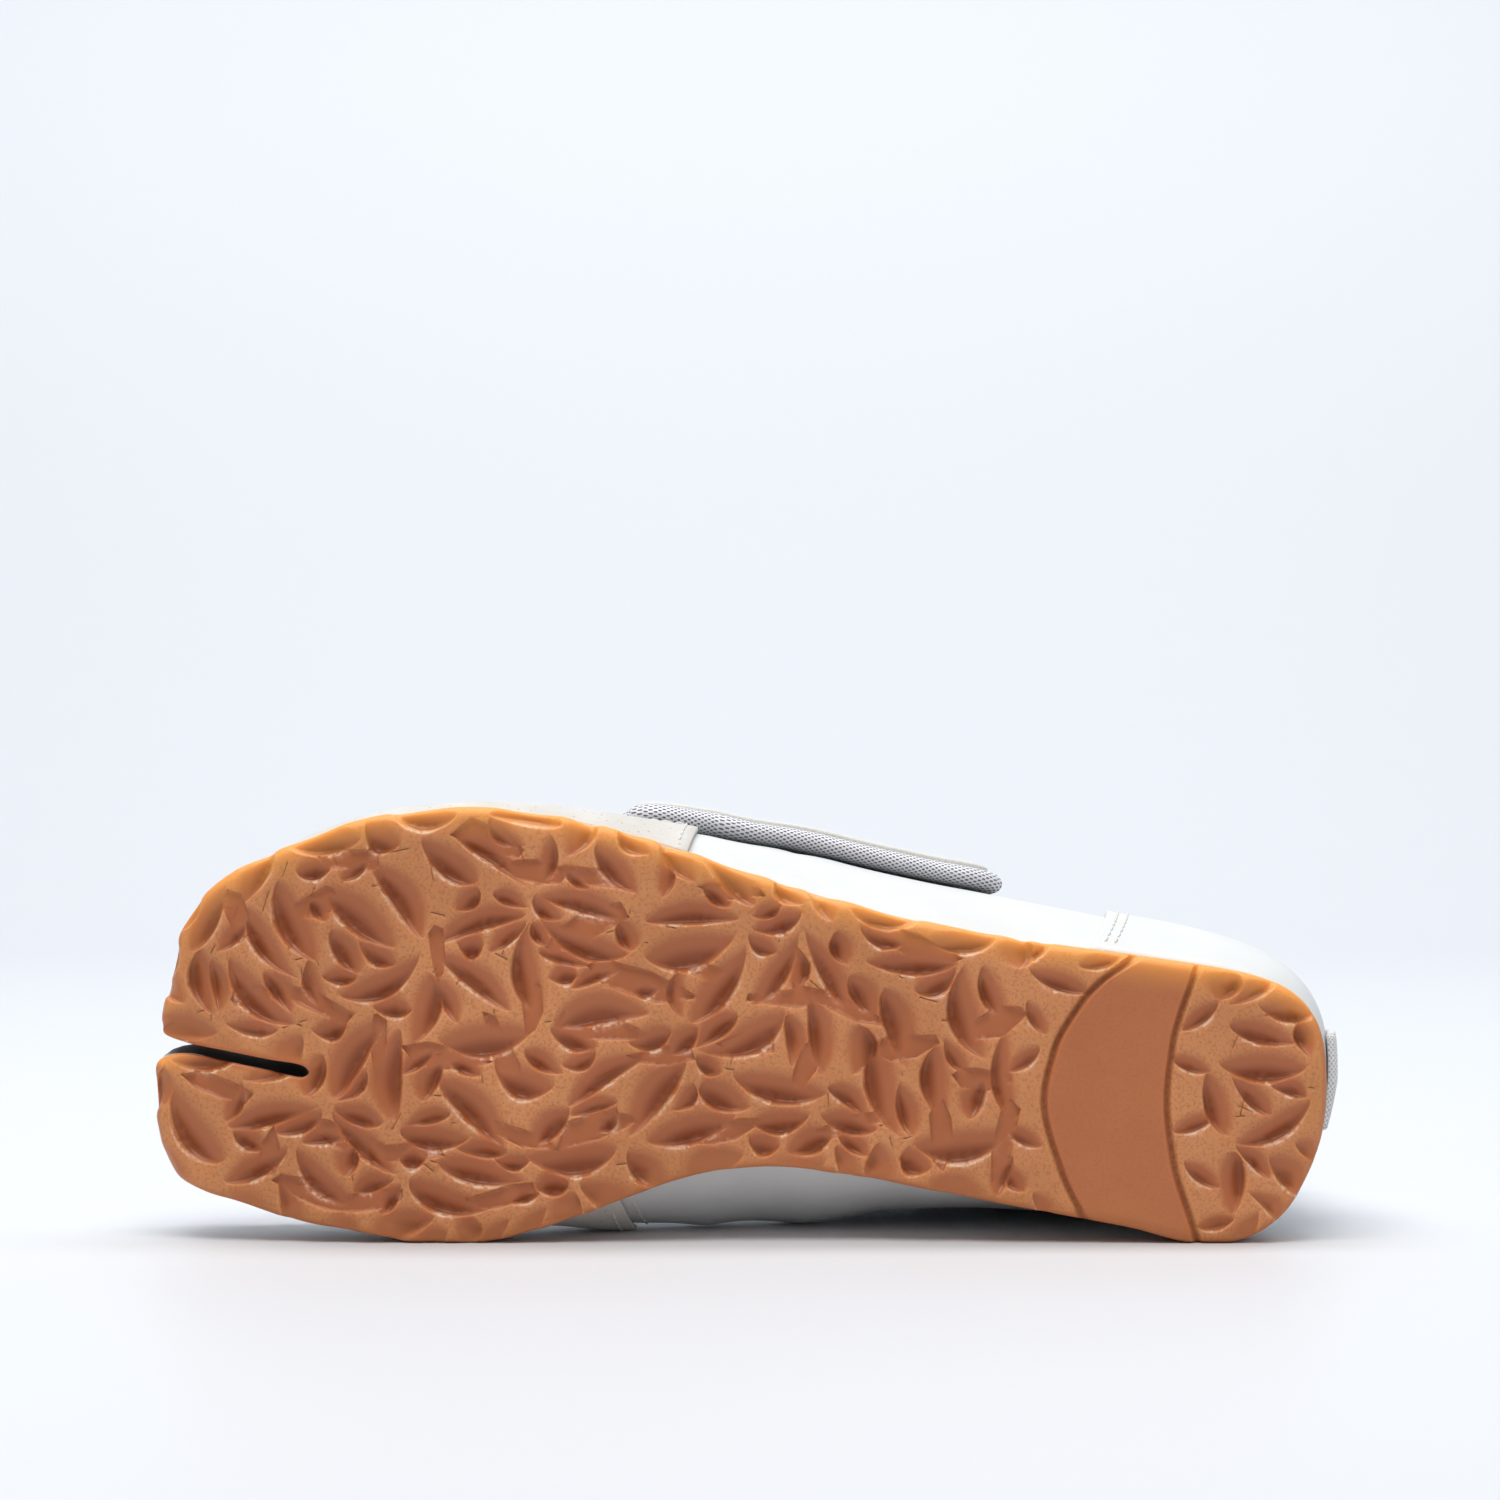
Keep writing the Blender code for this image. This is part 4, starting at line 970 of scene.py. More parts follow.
def leaf_lines(leaf):
    """Lines that the sole's faces follow at one leaf: outline, lip and lines down its slope."""
    there = steps(max(8, round(leaf["length"] / LINE_PITCH)))
    rim = [leaf_place(leaf, t, 1) for t in there[:-1]] + [leaf_place(leaf, t, -1) for t in there[:0:-1]]
    lip = [leaf_place(leaf, t, -1.0 - LIP_LINE / max(leaf_half(leaf, t), LIP_LINE)) for t in there[1:-1]]
    slope = [[leaf_place(leaf, t, 1 - 2 * share) for t in there[1:-1]] for share in SLOPE_LINES]
    return [rim + rim[:1], lip] + slope


def scoops(places, leaves):
    """Depth of the leaves at plan points, and the painted highlight on their lips."""
    depth = np.zeros(len(places))
    pale = np.zeros(len(places))
    for leaf in leaves:
        along, across = leaf_axes(leaf)
        length = leaf["length"]
        away = places - np.array(leaf["centre"])
        t = away @ np.array(along) / length + 0.5
        near = (t > 1e-3) & (t < 1 - 1e-3)
        t = np.clip(t, 1e-3, 1 - 1e-3)
        bow = np.sin(np.pi * t ** leaf["skew"])
        bend = leaf["bend"] * length * (4 * t * (1 - t) - LEAF_BEND_MEAN)
        half = leaf["width"] / 2 * bow ** leaf["blunt"]
        b = (away @ np.array(across) - bend) / half
        beyond = (-1 - b) * half
        # Painted highlight on the plateau just beyond each leaf's low edge, strongest where the lip faces up.
        lit_lip = near & (beyond > -0.05) & (beyond < PALE_WIDTH)
        pale[lit_lip] = np.maximum(pale, (1 - np.abs(beyond) / PALE_WIDTH) * across.y * bow ** 2)[lit_lip]
        near &= np.abs(b) < 1.0005
        x = np.clip((1 - b) / 2, 0, 1)
        fall = np.clip(x / (1 - LIP), 0, 2) ** SCOOP_BOW
        both = np.exp(-SCOOP_ROUND * fall) + np.exp(-SCOOP_ROUND * (1 - x) / LIP)
        scoop = np.clip(-np.log(both) / SCOOP_ROUND, 0, 1)
        full = SCOOP_FULL * min(leaf["width"] / LEAF_WIDEST, 1.0) ** SCOOP_NARROW * bow ** SCOOP_FADE
        depth[near] = np.maximum(depth, full * scoop)[near]
    return depth, pale


def hollows(loop):
    """Centres and corners of flat hollows with straight, uneven edges."""
    chance = random.Random(HOLLOWS["seed"])
    found = []
    for _ in range(HOLLOWS["tries"]):
        centre = Vector((chance.uniform(HOLLOWS["from"], SOLE_LENGTH), chance.uniform(0.0, SOLE_WIDTH)))
        heading = chance.choice(HOLLOWS["headings"]) + chance.uniform(-HOLLOWS["swing"], HOLLOWS["swing"])
        along = heading_step(heading) * chance.uniform(*HOLLOWS["lengths"]) / 2
        across = turned(along).normalized() * chance.uniform(*HOLLOWS["widths"]) / 2
        corners = []
        for k in range(HOLLOWS["corners"]):
            turn = 2 * math.pi * (k + chance.uniform(-HOLLOWS["turn"], HOLLOWS["turn"])) / HOLLOWS["corners"]
            reach = chance.uniform(*HOLLOWS["reach"])
            corners.append(centre + (along * math.cos(turn) + across * math.sin(turn)) * reach)
        apart = all((centre - other[0]).length > HOLLOWS["apart"] for other in found)
        if apart and len(found) < HOLLOWS["keep"] and all(clear(q, loop, HOLLOWS["margin"]) for q in corners):
            found.append((centre, corners))
    return found


def slits(loop):
    """Ends of short cuts across the plateaus."""
    chance = random.Random(SLITS["seed"])
    found = []
    for _ in range(SLITS["tries"]):
        middle = Vector((chance.uniform(0.0, SOLE_LENGTH), chance.uniform(0.0, SOLE_WIDTH)))
        heading = chance.choice(SLITS["headings"]) + chance.uniform(-SLITS["swing"], SLITS["swing"])
        reach = heading_step(heading) * chance.uniform(*SLITS["reach"])
        ends = (middle - reach, middle + reach)
        if BAND_CUTS[0] < middle.x < BAND_CUTS[1]:
            continue
        if all(clear(q, loop, SLITS["margin"]) for q in ends):
            found.append(ends)
    return found


def line_distance(places, a, b):
    """Distances of plan places from the straight line between two points."""
    start = np.array(a)
    run = np.array(b) - start
    share = np.clip((places - start) @ run / (run @ run), 0, 1)
    return np.linalg.norm(places - start - share[:, None] * run, axis=1)


def hollow_share(places, corners):
    """1 on the floor of a hollow, falling to 0 over its walls."""
    within = np.zeros(len(places), bool)
    away = np.full(len(places), np.inf)
    for a, b in zip(corners, corners[1:] + corners[:1]):
        away = np.minimum(away, line_distance(places, a, b))
        crosses = (a.y > places[:, 1]) != (b.y > places[:, 1])
        where = a.x + (b.x - a.x) * (places[:, 1] - a.y) / (b.y - a.y if b.y != a.y else 1e-9)
        within ^= crosses & (places[:, 0] < where)
    return np.where(within, np.clip(away / HOLLOWS["wall"], 0, 1), 0.0)


def groove_curve(table):
    """A heel groove as arrays: w, s and how much wider it measures along s than across."""
    w = np.array(steps(120, table.keys[0], table.keys[-1]))
    s = np.array([table.at(value)["s"] for value in w])
    return w, s, np.hypot(1, np.gradient(s, w))


GROOVES = (groove_curve(BAND_FRONT), groove_curve(BAND_BACK))


def groove_share(places, groove):
    """1 in the middle of a heel groove, falling to 0 at its sides."""
    w, s, slant = groove
    away = np.abs(places[:, 0] - np.interp(places[:, 1], w, s)) / np.interp(places[:, 1], w, slant)
    return np.clip(1 - away / (GROOVE_WIDTH / 2), 0, 1)


# Gum sole
HEIGHTS = [SOLE_SIDE.at(s) for s in range(int(SOLE_LENGTH) + 1)]
FINE_GRID = 1.0
GRID_ROW_PITCH = 0.87
GRID_CLEAR = 0.45
GRID_EDGE = 3.2
TREAD_EDGE = 0.3
EDGE_PITCH = 0.2
EDGE_RINGS = (0.12, 0.35, 0.7, 1.1, 1.6, 2.2, 3.0)
EDGE_SMOOTH = 1.6
SKIN_DEPTH = 0.5
# Painted shade in the leaves: it starts at DEEP_FROM millimetres of depth and is full by DEEP_FULL.
DEEP_FROM = 0.9
DEEP_FULL = 2.3
NOTCH = 0.42
NOTCH_SOFT = 13
NOTCH_REACH = 3.0
NOTCH_FADE = 4.0
CLEFT_ROUND = 0.9
CLEFT_REACH = (24.0, 33.0)
CALM = 0.05
CALM_REACH = 4.0
CALM_HEEL = (26.0, 60.0)
CALM_FACING = 1.15
# Painted glow: orange light painted into the rubber within GLOW millimetres of the rim, as light shining
# through the thin edge; strongest where the rim faces up as the shoe lies (LIT_*), with GLOW_FLOOR everywhere
# and GLOW_SIDE up the side wall.
GLOW = 8.0
GLOW_POWER = 1.5
GLOW_FLOOR = 0.12
GLOW_SIDE = 0.9
LIT_FADE = 12.0
LIT_GAIN = 1.3
LIT_FROM = 0.1
TOP_ROUND = 0.7
# Rings up the side wall: share of its height, then how far in and how far up.
SIDE_RINGS = (
    (0.25, 0.0, 0.0), (0.5, 0.0, 0.0), (0.75, 0.0, 0.0), (1.0, 0.0, 0.0),
    (1.0, TOP_ROUND * 0.3, TOP_ROUND * 0.72), (1.0, TOP_ROUND, TOP_ROUND),
)
# Values the rubber reads: smooth faces, painted glow near the rim (edge), painted shade in recesses (deep)
# and painted highlight on the leaves' lips (pale).
RUBBER_VALUES = ("smooth", "edge", "deep", "pale")


def along_sole(column, s):
    """Ground line or upper edge of the sole at many s at once."""
    return np.interp(s, np.arange(len(HEIGHTS)), [row[column] for row in HEIGHTS])


class Near:
    """Search for the nearest of some plan points."""

    def __init__(self, points):
        self.tree = KDTree(len(points))
        for i, point in enumerate(points):
            self.tree.insert((point.x, point.y, 0.0), i)
        self.tree.balance()

    def index(self, point):
        """Number of the nearest point."""
        return self.tree.find((point.x, point.y, 0.0))[1]

    def away(self, point):
        """Distance of the nearest point."""
        return self.tree.find((point.x, point.y, 0.0))[2]


class Plan:
    """Plan points and the lines that the faces follow."""

    def __init__(self):
        self.points = []
        self.edges = []

    def line(self, points, closed=False):
        """Adds a run of points joined by edges."""
        first = len(self.points)
        self.points += points
        last = len(self.points)
        self.edges += [(i, i + 1) for i in range(first, last - 1)]
        if closed:
            self.edges.append((last - 1, first))

    def runs(self, points, kept):
        """Adds the stretches of a line whose points are kept."""
        run = []
        for point in points:
            if kept(point):
                run.append(point)
            else:
                self.line(run)
                run = []
        self.line(run)

    def faces(self):
        """Places of all corners, the triangles between them and the plan points each corner stands for."""
        made = delaunay_2d_cdt(self.points, self.edges, [], 1, 1e-4)
        return made[0], made[2], made[3]


class SoleEdge:
    """The rim in fine steps, with what changes along it: calm, notches, rounding and the painted glow of
    light.
    """

    def __init__(self, loop, leaves):
        self.points = points = grow(loop, EDGE_PITCH)
        self.near = Near(points)
        self.inward = np.array([tuple(inset_point(points, i, 1.0) - q) for i, q in enumerate(points)])
        facing = -self.inward[:, 1]
        reach = lengths(points + points[:1])[1:]
        from_cleft = np.minimum(reach, reach[-1] - reach)
        beyond_cleft = from_cleft - CLEFT_REACH[0]
        self.calm = np.clip(CALM_FACING + facing, CALM, 1)
        self.calm *= np.interp([q.x for q in points], CALM_HEEL, (CALM, 1))
        notches = NOTCH * scoops(np.array([tuple(q) for q in points]), leaves)[0]
        notches = np.convolve(notches, np.full(NOTCH_SOFT, 1 / NOTCH_SOFT), "same")
        self.notches = notches * (np.clip(beyond_cleft / NOTCH_FADE, 0, 1) * self.calm)
        self.rounds = np.interp(from_cleft, CLEFT_REACH, (CLEFT_ROUND, SOLE_EDGE_RADIUS))
        # lit: how strongly the painted glow shows, on the side that faces up as the shoe lies.
        self.lit = np.clip(facing * LIT_GAIN - LIT_FROM, 0, 1) * np.clip(beyond_cleft / LIT_FADE, 0, 1)


def tread(loop):
    """Leaves, flat hollows and cuts of the tread."""
    spines = []
    leaves = [cut_leaf(leaf) for rule in LEAF_RULES for leaf in strew(loop, rule, spines)]
    leaves += [hand_leaf(*row) for row in HAND_LEAVES]
    return leaves, hollows(loop), slits(loop)


def sole_plan(coarse, loop, edge, leaves, flats, cuts):
    """Plan of the underside: rim, rings beside it, lines of the tread and a fine grid between them."""

    def on_tread(point):
        return edge.away(point) > TREAD_EDGE and inside(point, coarse)

    plan = Plan()
    plan.line([inset_point(loop, i, SOLE_EDGE_RADIUS * DRAFT) for i in range(len(loop))], True)
    for reach in EDGE_RINGS:
        ring = [inset_point(loop, i, reach) for i in range(len(loop))]
        plan.points += [q for q in ring if edge.away(q) > reach * 0.985 - 0.03]
    for leaf in leaves:
        for line in leaf_lines(leaf):
            plan.runs(line, on_tread)
    for a, b in cuts:
        side = turned(b - a).normalized() * SLITS["width"]
        for shift in (-1, 0, 1):
            plan.line([a.lerp(b, t) + side * shift for t in steps(6)])
    for centre, corners in flats:
        shrunk = [q + (centre - q).normalized() * HOLLOWS["wall"] * 1.4 for q in corners]
        plan.line(grow(corners, 0.8), True)
        plan.line(grow(shrunk, 0.8), True)
    for groove in GROOVES:
        for shift in GROOVE_LINES:
            plan.runs([Vector((s + shift * slant, w)) for w, s, slant in zip(*groove)], on_tread)
    fixed = Near(plan.points)
    for row in range(int(SOLE_LENGTH / GRID_ROW_PITCH)):
        s = 1.0 + FINE_GRID * GRID_ROW_PITCH * row
        for column in range(int(SOLE_WIDTH / FINE_GRID)):
            q = Vector((s, FINE_GRID * (column + row % 2 / 2)))
            if fixed.away(q) > GRID_CLEAR and inside(q, coarse) and edge.away(q) > GRID_EDGE:
                plan.points.append(q)
    return plan


def relief(places, away, nearby, edge, tread_cuts):
    """Underside in relief: plan places, heights and the values that the rubber reads."""
    leaves, flats, cuts = tread_cuts
    depth, pale = scoops(places, leaves)
    calm = edge.calm[nearby]
    depth *= calm + (1 - calm) * np.clip(away / CALM_REACH, 0, 1)
    smooth = np.clip(depth / SKIN_DEPTH, 0, 1)
    # deep: painted shade in the scoops, growing with their depth.
    deep = np.clip((depth - DEEP_FROM) / (DEEP_FULL - DEEP_FROM), 0, 1)
    notch = edge.notches[nearby] * np.clip(1 - away / NOTCH_REACH, 0, 1)
    places = places + edge.inward[nearby] * notch[:, None]
    plain = smooth < 0.01
    pale *= plain
    for _, corners in flats:
        share = hollow_share(places, corners)
        depth = np.maximum(depth, HOLLOWS["depth"] * share)
        smooth = np.maximum(smooth, share)
    # The cuts and the heel grooves also get painted shade through deep.
    for a, b in cuts:
        share = np.clip(1 - line_distance(places, a, b) / SLITS["width"], 0, 1) * plain
        depth = np.maximum(depth, SLITS["depth"] * share)
        deep = np.maximum(deep, SLITS["dark"] * share)
    for groove in GROOVES:
        share = groove_share(places, groove)
        depth = np.maximum(depth, GROOVE_DEPTH * np.sqrt(share))
        deep = np.maximum(deep, share)
    front, back = (np.interp(places[:, 1], w, s) for w, s, _ in GROOVES)
    smooth = np.maximum(smooth, ((places[:, 0] > back) & (places[:, 0] < front)) * BAND_SMOOTH)
    smooth = np.maximum(smooth, np.clip(EDGE_SMOOTH - away, 0, 1))
    radius = edge.rounds[nearby]
    rise = radius - np.sqrt(radius ** 2 - np.clip(radius - away, 0, None) ** 2)
    up = along_sole("ground", places[:, 0]) + depth + rise
    # Painted glow near the rim, kept in the edge value.
    glow = np.clip(1 - away / GLOW, 0, 1) ** GLOW_POWER * (GLOW_FLOOR + (1 - GLOW_FLOOR) * edge.lit[nearby])
    return places, up, zip(smooth, glow, deep, pale)


def side_rings(rim, loop, edge, corner):
    """Rings of the side wall, from the rim of the underside up to the ledge."""
    ground = along_sole("ground", np.array([q.x for q in loop]))
    top = along_sole("top", np.array([q.x for q in loop]))
    on_rim = [edge.near.index(q) for q in loop]
    rings = [rim]
    for share, inward, raised in SIDE_RINGS:
        ring = []
        for i, k in enumerate(on_rim):
            low = rim[i].co.z
            z = low + (top[i] - TOP_ROUND - low) * share + raised
            notch = edge.notches[k] * (1 - share)
            q = inset_point(loop, i, (z - ground[i]) * DRAFT + inward + notch)
            # Painted glow up the side wall, kept in the edge value.
            shine = GLOW_FLOOR + (GLOW_SIDE - GLOW_FLOOR) * edge.lit[k]
            ring.append(corner(q.x, q.y, z, (1.0, shine, 0.0, 0.0)))
        rings.append(ring)
    return rings


def build_sole():
    """Gum sole: leaf tread, round edge, side wall and the ledge round the upper."""
    coarse, loop = Rim(3).points, Rim(22).points
    tread_cuts = tread(coarse)
    edge = SoleEdge(loop, tread_cuts[0])
    corners, faces, origins = sole_plan(coarse, loop, edge.near, *tread_cuts).faces()
    first = {k: i for i, ids in enumerate(origins) for k in ids if k < len(loop)}
    away = np.array([edge.near.away(q) for q in corners])
    away[list(first.values())] = 0.0
    nearby = np.array([edge.near.index(q) for q in corners])
    places, up, values = relief(np.array([tuple(q) for q in corners]), away, nearby, edge, tread_cuts)
    mesh = bmesh.new()
    layers = [mesh.verts.layers.float.new(name) for name in RUBBER_VALUES]

    def corner(x, y, z, held):
        vert = mesh.verts.new((x, y, z))
        for layer, value in zip(layers, held):
            vert[layer] = value
        return vert

    under = [corner(x, y, z, held) for (x, y), z, held in zip(places, up, values)]
    for face in faces:
        mesh.faces.new([under[i] for i in reversed(face)])
    rings = side_rings([under[first[i]] for i in range(len(loop))], loop, edge, corner)
    for ring, onward in zip(rings, rings[1:]):
        for i in range(len(loop)):
            j = (i + 1) % len(loop)
            mesh.faces.new([ring[j], ring[i], onward[i], onward[j]])
    lid = Plan()
    lid.line([vert.co.xy for vert in rings[-1]], True)
    _, top_faces, top_ids = lid.faces()
    for face in top_faces:
        mesh.faces.new([rings[-1][top_ids[i][0]] for i in face])
    bmesh.ops.recalc_face_normals(mesh, faces=mesh.faces[:])
    place("gum_sole", mesh, gum_rubber(), "gum_rubber", "outsole")


# Upper and overlays.  Creases are soft troughs: side, p, t, turn, reach, width, depth.
CREASES = (
    ("outer", 0.98, 0.62, 0.6, 0.16, 0.020, 0.7),
    ("outer", 1.08, 0.50, 0.9, 0.20, 0.024, 0.9),
    ("outer", 1.18, 0.42, 1.1, 0.18, 0.022, 0.7),
    ("inner", 1.02, 0.56, 0.7, 0.18, 0.022, 0.5),
    ("inner", 1.13, 0.46, 1.0, 0.20, 0.024, 0.5),
    ("inner", 1.24, 0.40, 1.2, 0.16, 0.020, 0.4),
    ("outer", 1.80, 0.66, 0.1, 0.14, 0.030, 0.7),
    ("inner", 1.80, 0.68, 0.1, 0.14, 0.030, 0.7),
)
CREASE_LEAST = 0.02
WALL_BULGE = 0.4
OVERLAY_BULGE = 0.25
TAB_BULGE = 0.5
COLLAR_WIDTH = 3.0
COLLAR_PROUD = 0.8
THROAT_STEPS = 10
CROWN_LAST = 1.99


def crease(side, p, t):
    """Depth of the soft troughs at a place of the wall; low ridges run beside them."""
    total = 0.0
    for on_side, at_p, at_t, turn, reach, width, depth in CREASES:
        if on_side == side:
            a = (p - at_p) * math.cos(turn) + (t - at_t) * math.sin(turn)
            x = ((t - at_t) * math.cos(turn) - (p - at_p) * math.sin(turn)) / width
            total += depth * max(0.0, 1 - (a / reach) ** 2) * (1 - 0.5 * x * x) * math.exp(-0.5 * x * x)
    return total


def creased_wall(side, p, t):
    """Point of the wall with its creases pressed in."""
    depth = crease(side, p, t)
    point = wall(side, p, t)
    return point if abs(depth) < CREASE_LEAST else on_floor(point - skin_normal(side, p, t) * depth)


def build_upper(leather):
    """Leather upper: one hollow wall with soft creases at the ankle."""
    patches = []
    for side, turn in SIDES:
        toe = [[bezier(*lobe(side, k), t) for t in LEVELS] for k in ROUND_LOBE]
        middle = [[crown(side, p, 1 - t) for t in reversed(LEVELS)] for p in VAMP_ROWS]
        vamp, quarter = ([[creased_wall(side, p, t) for t in LEVELS] for p in rows]
                         for rows in (VAMP_ROWS, QUARTER_ROWS))
        patches += [(grid, turn) for grid in (toe, vamp, middle, quarter)]
    place("leather_upper", shell(sheet(patches), -UPPER_WALL, 0.0, WALL_BULGE), leather, "white_leather",
          "upper")


def build_collar(leather):
    """Rolled leather edge round collar and throat."""
    walk = [("outer", 1.0, 2 - v) for v in steps(THROAT_STEPS)]
    walk += [("outer", p, 1.0) for p in QUARTER_ROWS[1:]]
    walk += [("inner", p, 1.0) for p in reversed(QUARTER_ROWS[:-1])]
    walk += [("inner", 1.0, 1 + v) for v in steps(THROAT_STEPS)[1:-1]]
    normals = [skin_normal(side, p, min(t, CROWN_LAST)) for side, p, t in walk]
    line = [skin(*step) - normal * UPPER_WALL / 2 for step, normal in zip(walk, normals)]
    roll = sweep(bmesh.new(), line, normals, oval(COLLAR_WIDTH, UPPER_WALL + COLLAR_PROUD), True)
    place("collar_edge", roll, leather, "white_leather")


def line_away(point, a, b):
    """Plan distance of a point from the straight line between two points."""
    along = b - a
    share = clamp((point.xy - a).dot(along) / along.length_squared)
    return (point.xy - a - along * share).length


def in_valley(point):
    """How near a point is to the narrow valley behind the cleft: 1 in it, 0 well away."""
    return clamp(2 - line_away(point, Vector(VALLEY_FOOT[:2]), Vector(VALLEY_HEAD)) / VALLEY_HALF)


def cleft_shade_share(point):
    """How much painted shade a point of the toe cap gets in the cleft between the toes: 1 deep inside it, 0
    on the open toes.
    """
    away = line_away(point, Vector(VALLEY_FOOT[:2]), Vector(CLEFT_MOUTH))
    low = clamp((CLEFT_SHADE_TOP - point.z) / CLEFT_SHADE_FADE)
    return clamp((CLEFT_SHADE - away) / CLEFT_SHADE_SOFT) * low


def cap_row(side, p, t):
    """Row of the toe cap: it follows the upper's rows, then runs out to the cap's back edge."""
    low = CAP_LOW[side]
    edge = low + (CAP_HIGH - low) * ease((t - CAP_BEND[0]) / (CAP_BEND[1] - CAP_BEND[0]))
    return p if p <= CAP_TURN else CAP_TURN + (p - CAP_TURN) / (1 - CAP_TURN) * (edge - CAP_TURN)


def cap_patches():
    """Toe cap: both toe lobes and the front of the vamp, stopping just above the featherline."""
    levels = (CAP_FOOT,) + LEVELS[1:]
    patches = []
    for side, turn in SIDES:
        toe = [[bezier(*lobe(side, k), t) for t in levels] for k in ROUND_LOBE]
        sides = [[wall(side, cap_row(side, p, t), t) for t in levels] for p in CAP_ROWS]
        middle = [[crown(side, cap_row(side, p, 1.0), 1 - t) for t in reversed(LEVELS if p > 0 else levels)]
                  for p in CAP_ROWS]
        patches += [(grid, turn) for grid in (toe, sides, middle)]
    return patches


def build_toe_cap():
    """Suede toe cap over both toes, with painted shade in the cleft between them."""
    cap = lift(sheet(cap_patches()), lambda point: MEET_GAP + VALLEY_ROOM * in_valley(point))
    cap = shell(cap, 0.0, lambda vert: OVERLAY * (1 - VALLEY_THIN * in_valley(vert.co)), OVERLAY_BULGE)
    # The shade value paints shade on the suede deep in the cleft.
    shade = cap.verts.layers.float.new("shade")
    for vert in cap.verts:
        vert[shade] = cleft_shade_share(vert.co)
    place("suede_toe_cap", cap, sand_suede(), "sand_suede", "toe_cap")


def counter_spot(side, i, share):
    """Point of the heel counter: row i from its front edge to the back seam, share up to its top edge."""
    start = COUNTER_LOW + (COUNTER_HIGH - COUNTER_LOW) * share
    p = start + (HEEL_ROWS[0] - start) * i / COUNTER_FRONT_ROWS
    if i >= COUNTER_FRONT_ROWS:
        p = HEEL_ROWS[i - COUNTER_FRONT_ROWS]
    rise = ((p - COUNTER_LOW) / (2.0 - COUNTER_LOW)) ** 2
    top = COUNTER_TOP + (COUNTER_BACK_TOP - COUNTER_TOP) * rise
    return wall(side, p, CAP_FOOT + (top - CAP_FOOT) * share)


def build_counter(leather):
    """Leather heel counter: both sides of the heel up to a top edge that rises at the back."""
    rows = range(COUNTER_FRONT_ROWS + len(HEEL_ROWS))
    patches = [([[counter_spot(side, i, share) for share in steps(COUNTER_STEPS)] for i in rows], turn)
               for side, turn in SIDES]
    counter = lift(sheet(patches), lambda point: MEET_GAP)
    place("leather_counter", shell(counter, 0.0, OVERLAY, OVERLAY_BULGE), leather, "white_leather",
          "heel_counter")


def strap_grid(setback=0.0):
    """Strap: rows across the foot, from the free end on the outer side to the hinge on the inner side."""
    grid = []
    for p in STRAP_ROWS:
        room = min(p - STRAP_FRONT, STRAP_BACK - p) / STRAP_CORNER
        corner = 1 - math.sqrt(1 - (1 - clamp(room)) ** 2)
        levels = refine((STRAP_END + setback + STRAP_ROUND * corner,) + STRAP_LEVELS, 7)
        row = [wall("outer", p + max(p - 1, 0.0) * STRAP_FLARE * (1 - t), t) for t in levels]
        row += [crown("outer", p, v) for v in steps(CROWN_STEPS)[1:]]
        row += [crown("inner", p, v) for v in reversed(steps(CROWN_STEPS)[:-1])]
        row += [wall("inner", p, t) for t in refine(STRAP_HINGE, 6)[1:]]
        grid.append(row)
    return grid


def border(mesh):
    """Outer edge of an open sheet as one loop of corners."""
    onward = {loop.vert: loop.link_loop_next.vert for loop in open_edges(mesh)}
    start = next(iter(onward))
    run = [start]
    while onward[run[-1]] is not start:
        run.append(onward[run[-1]])
    return run


def corner_rise(point):
    """Extra padding at the strap's front corner on the outer side."""
    shares = [clamp((value - low) / (high - low)) for value, (low, high) in zip(point, (CORNER_S, CORNER_W))]
    return CORNER_RISE * shares[0] * shares[1]


def build_strap(leather):
    """Wide strap: padded knit lining, leather cover and a cream binding round its edge."""
    pad = lift(sheet([(strap_grid(), 1)]), lambda point: MEET_GAP + PAD_CLEAR)
    # The pad's knit takes painted shade on the lower side of its roll (0.7).
    mesh_finish = knit("scene_grey_knit", (0.86, 0.85, 0.90), (0.15, 0.15, 0.16), 0.25, 1.6, 0.7)
    weave = pad.verts.layers.float_vector["weave"]

    def puff(vert):
        return PAD_THICK + PAD_OVER + ROLL_RISE * ease(1 - vert[weave].y / ROLL_REACH) + corner_rise(vert.co)

    padded = place("knit_strap_pad", shell(pad, 0.0, puff, PAD_BULGE, PAD_ROUNDS), mesh_finish, "grey_mesh",
                   "strap_pad")
    above = 2 * MEET_GAP + PAD_CLEAR + PAD_THICK
    cover = lift(sheet([(strap_grid(COVER_SETBACK), 1)]), lambda point: above + corner_rise(point))
    rim = border(cover)
    line = [vert.co + vert.normal * COVER_THICK / 2 for vert in rim]
    normals = [vert.normal.copy() for vert in rim]
    place("leather_strap", shell(cover, 0.0, COVER_THICK, WALL_BULGE), leather, "white_leather",
          "strap_cover")
    tape = sweep(bmesh.new(), line, normals, oval(BINDING_WIDTH, COVER_THICK + BINDING_PROUD), True)
    cream = spun("scene_cream_tape", (0.76, 0.75, 0.69), 0.8, 1500.0,
                 (0.68, 0.665, 0.60), (0.82, 0.81, 0.755), 0.2)
    place("strap_binding", tape, cream, "grey_webbing")


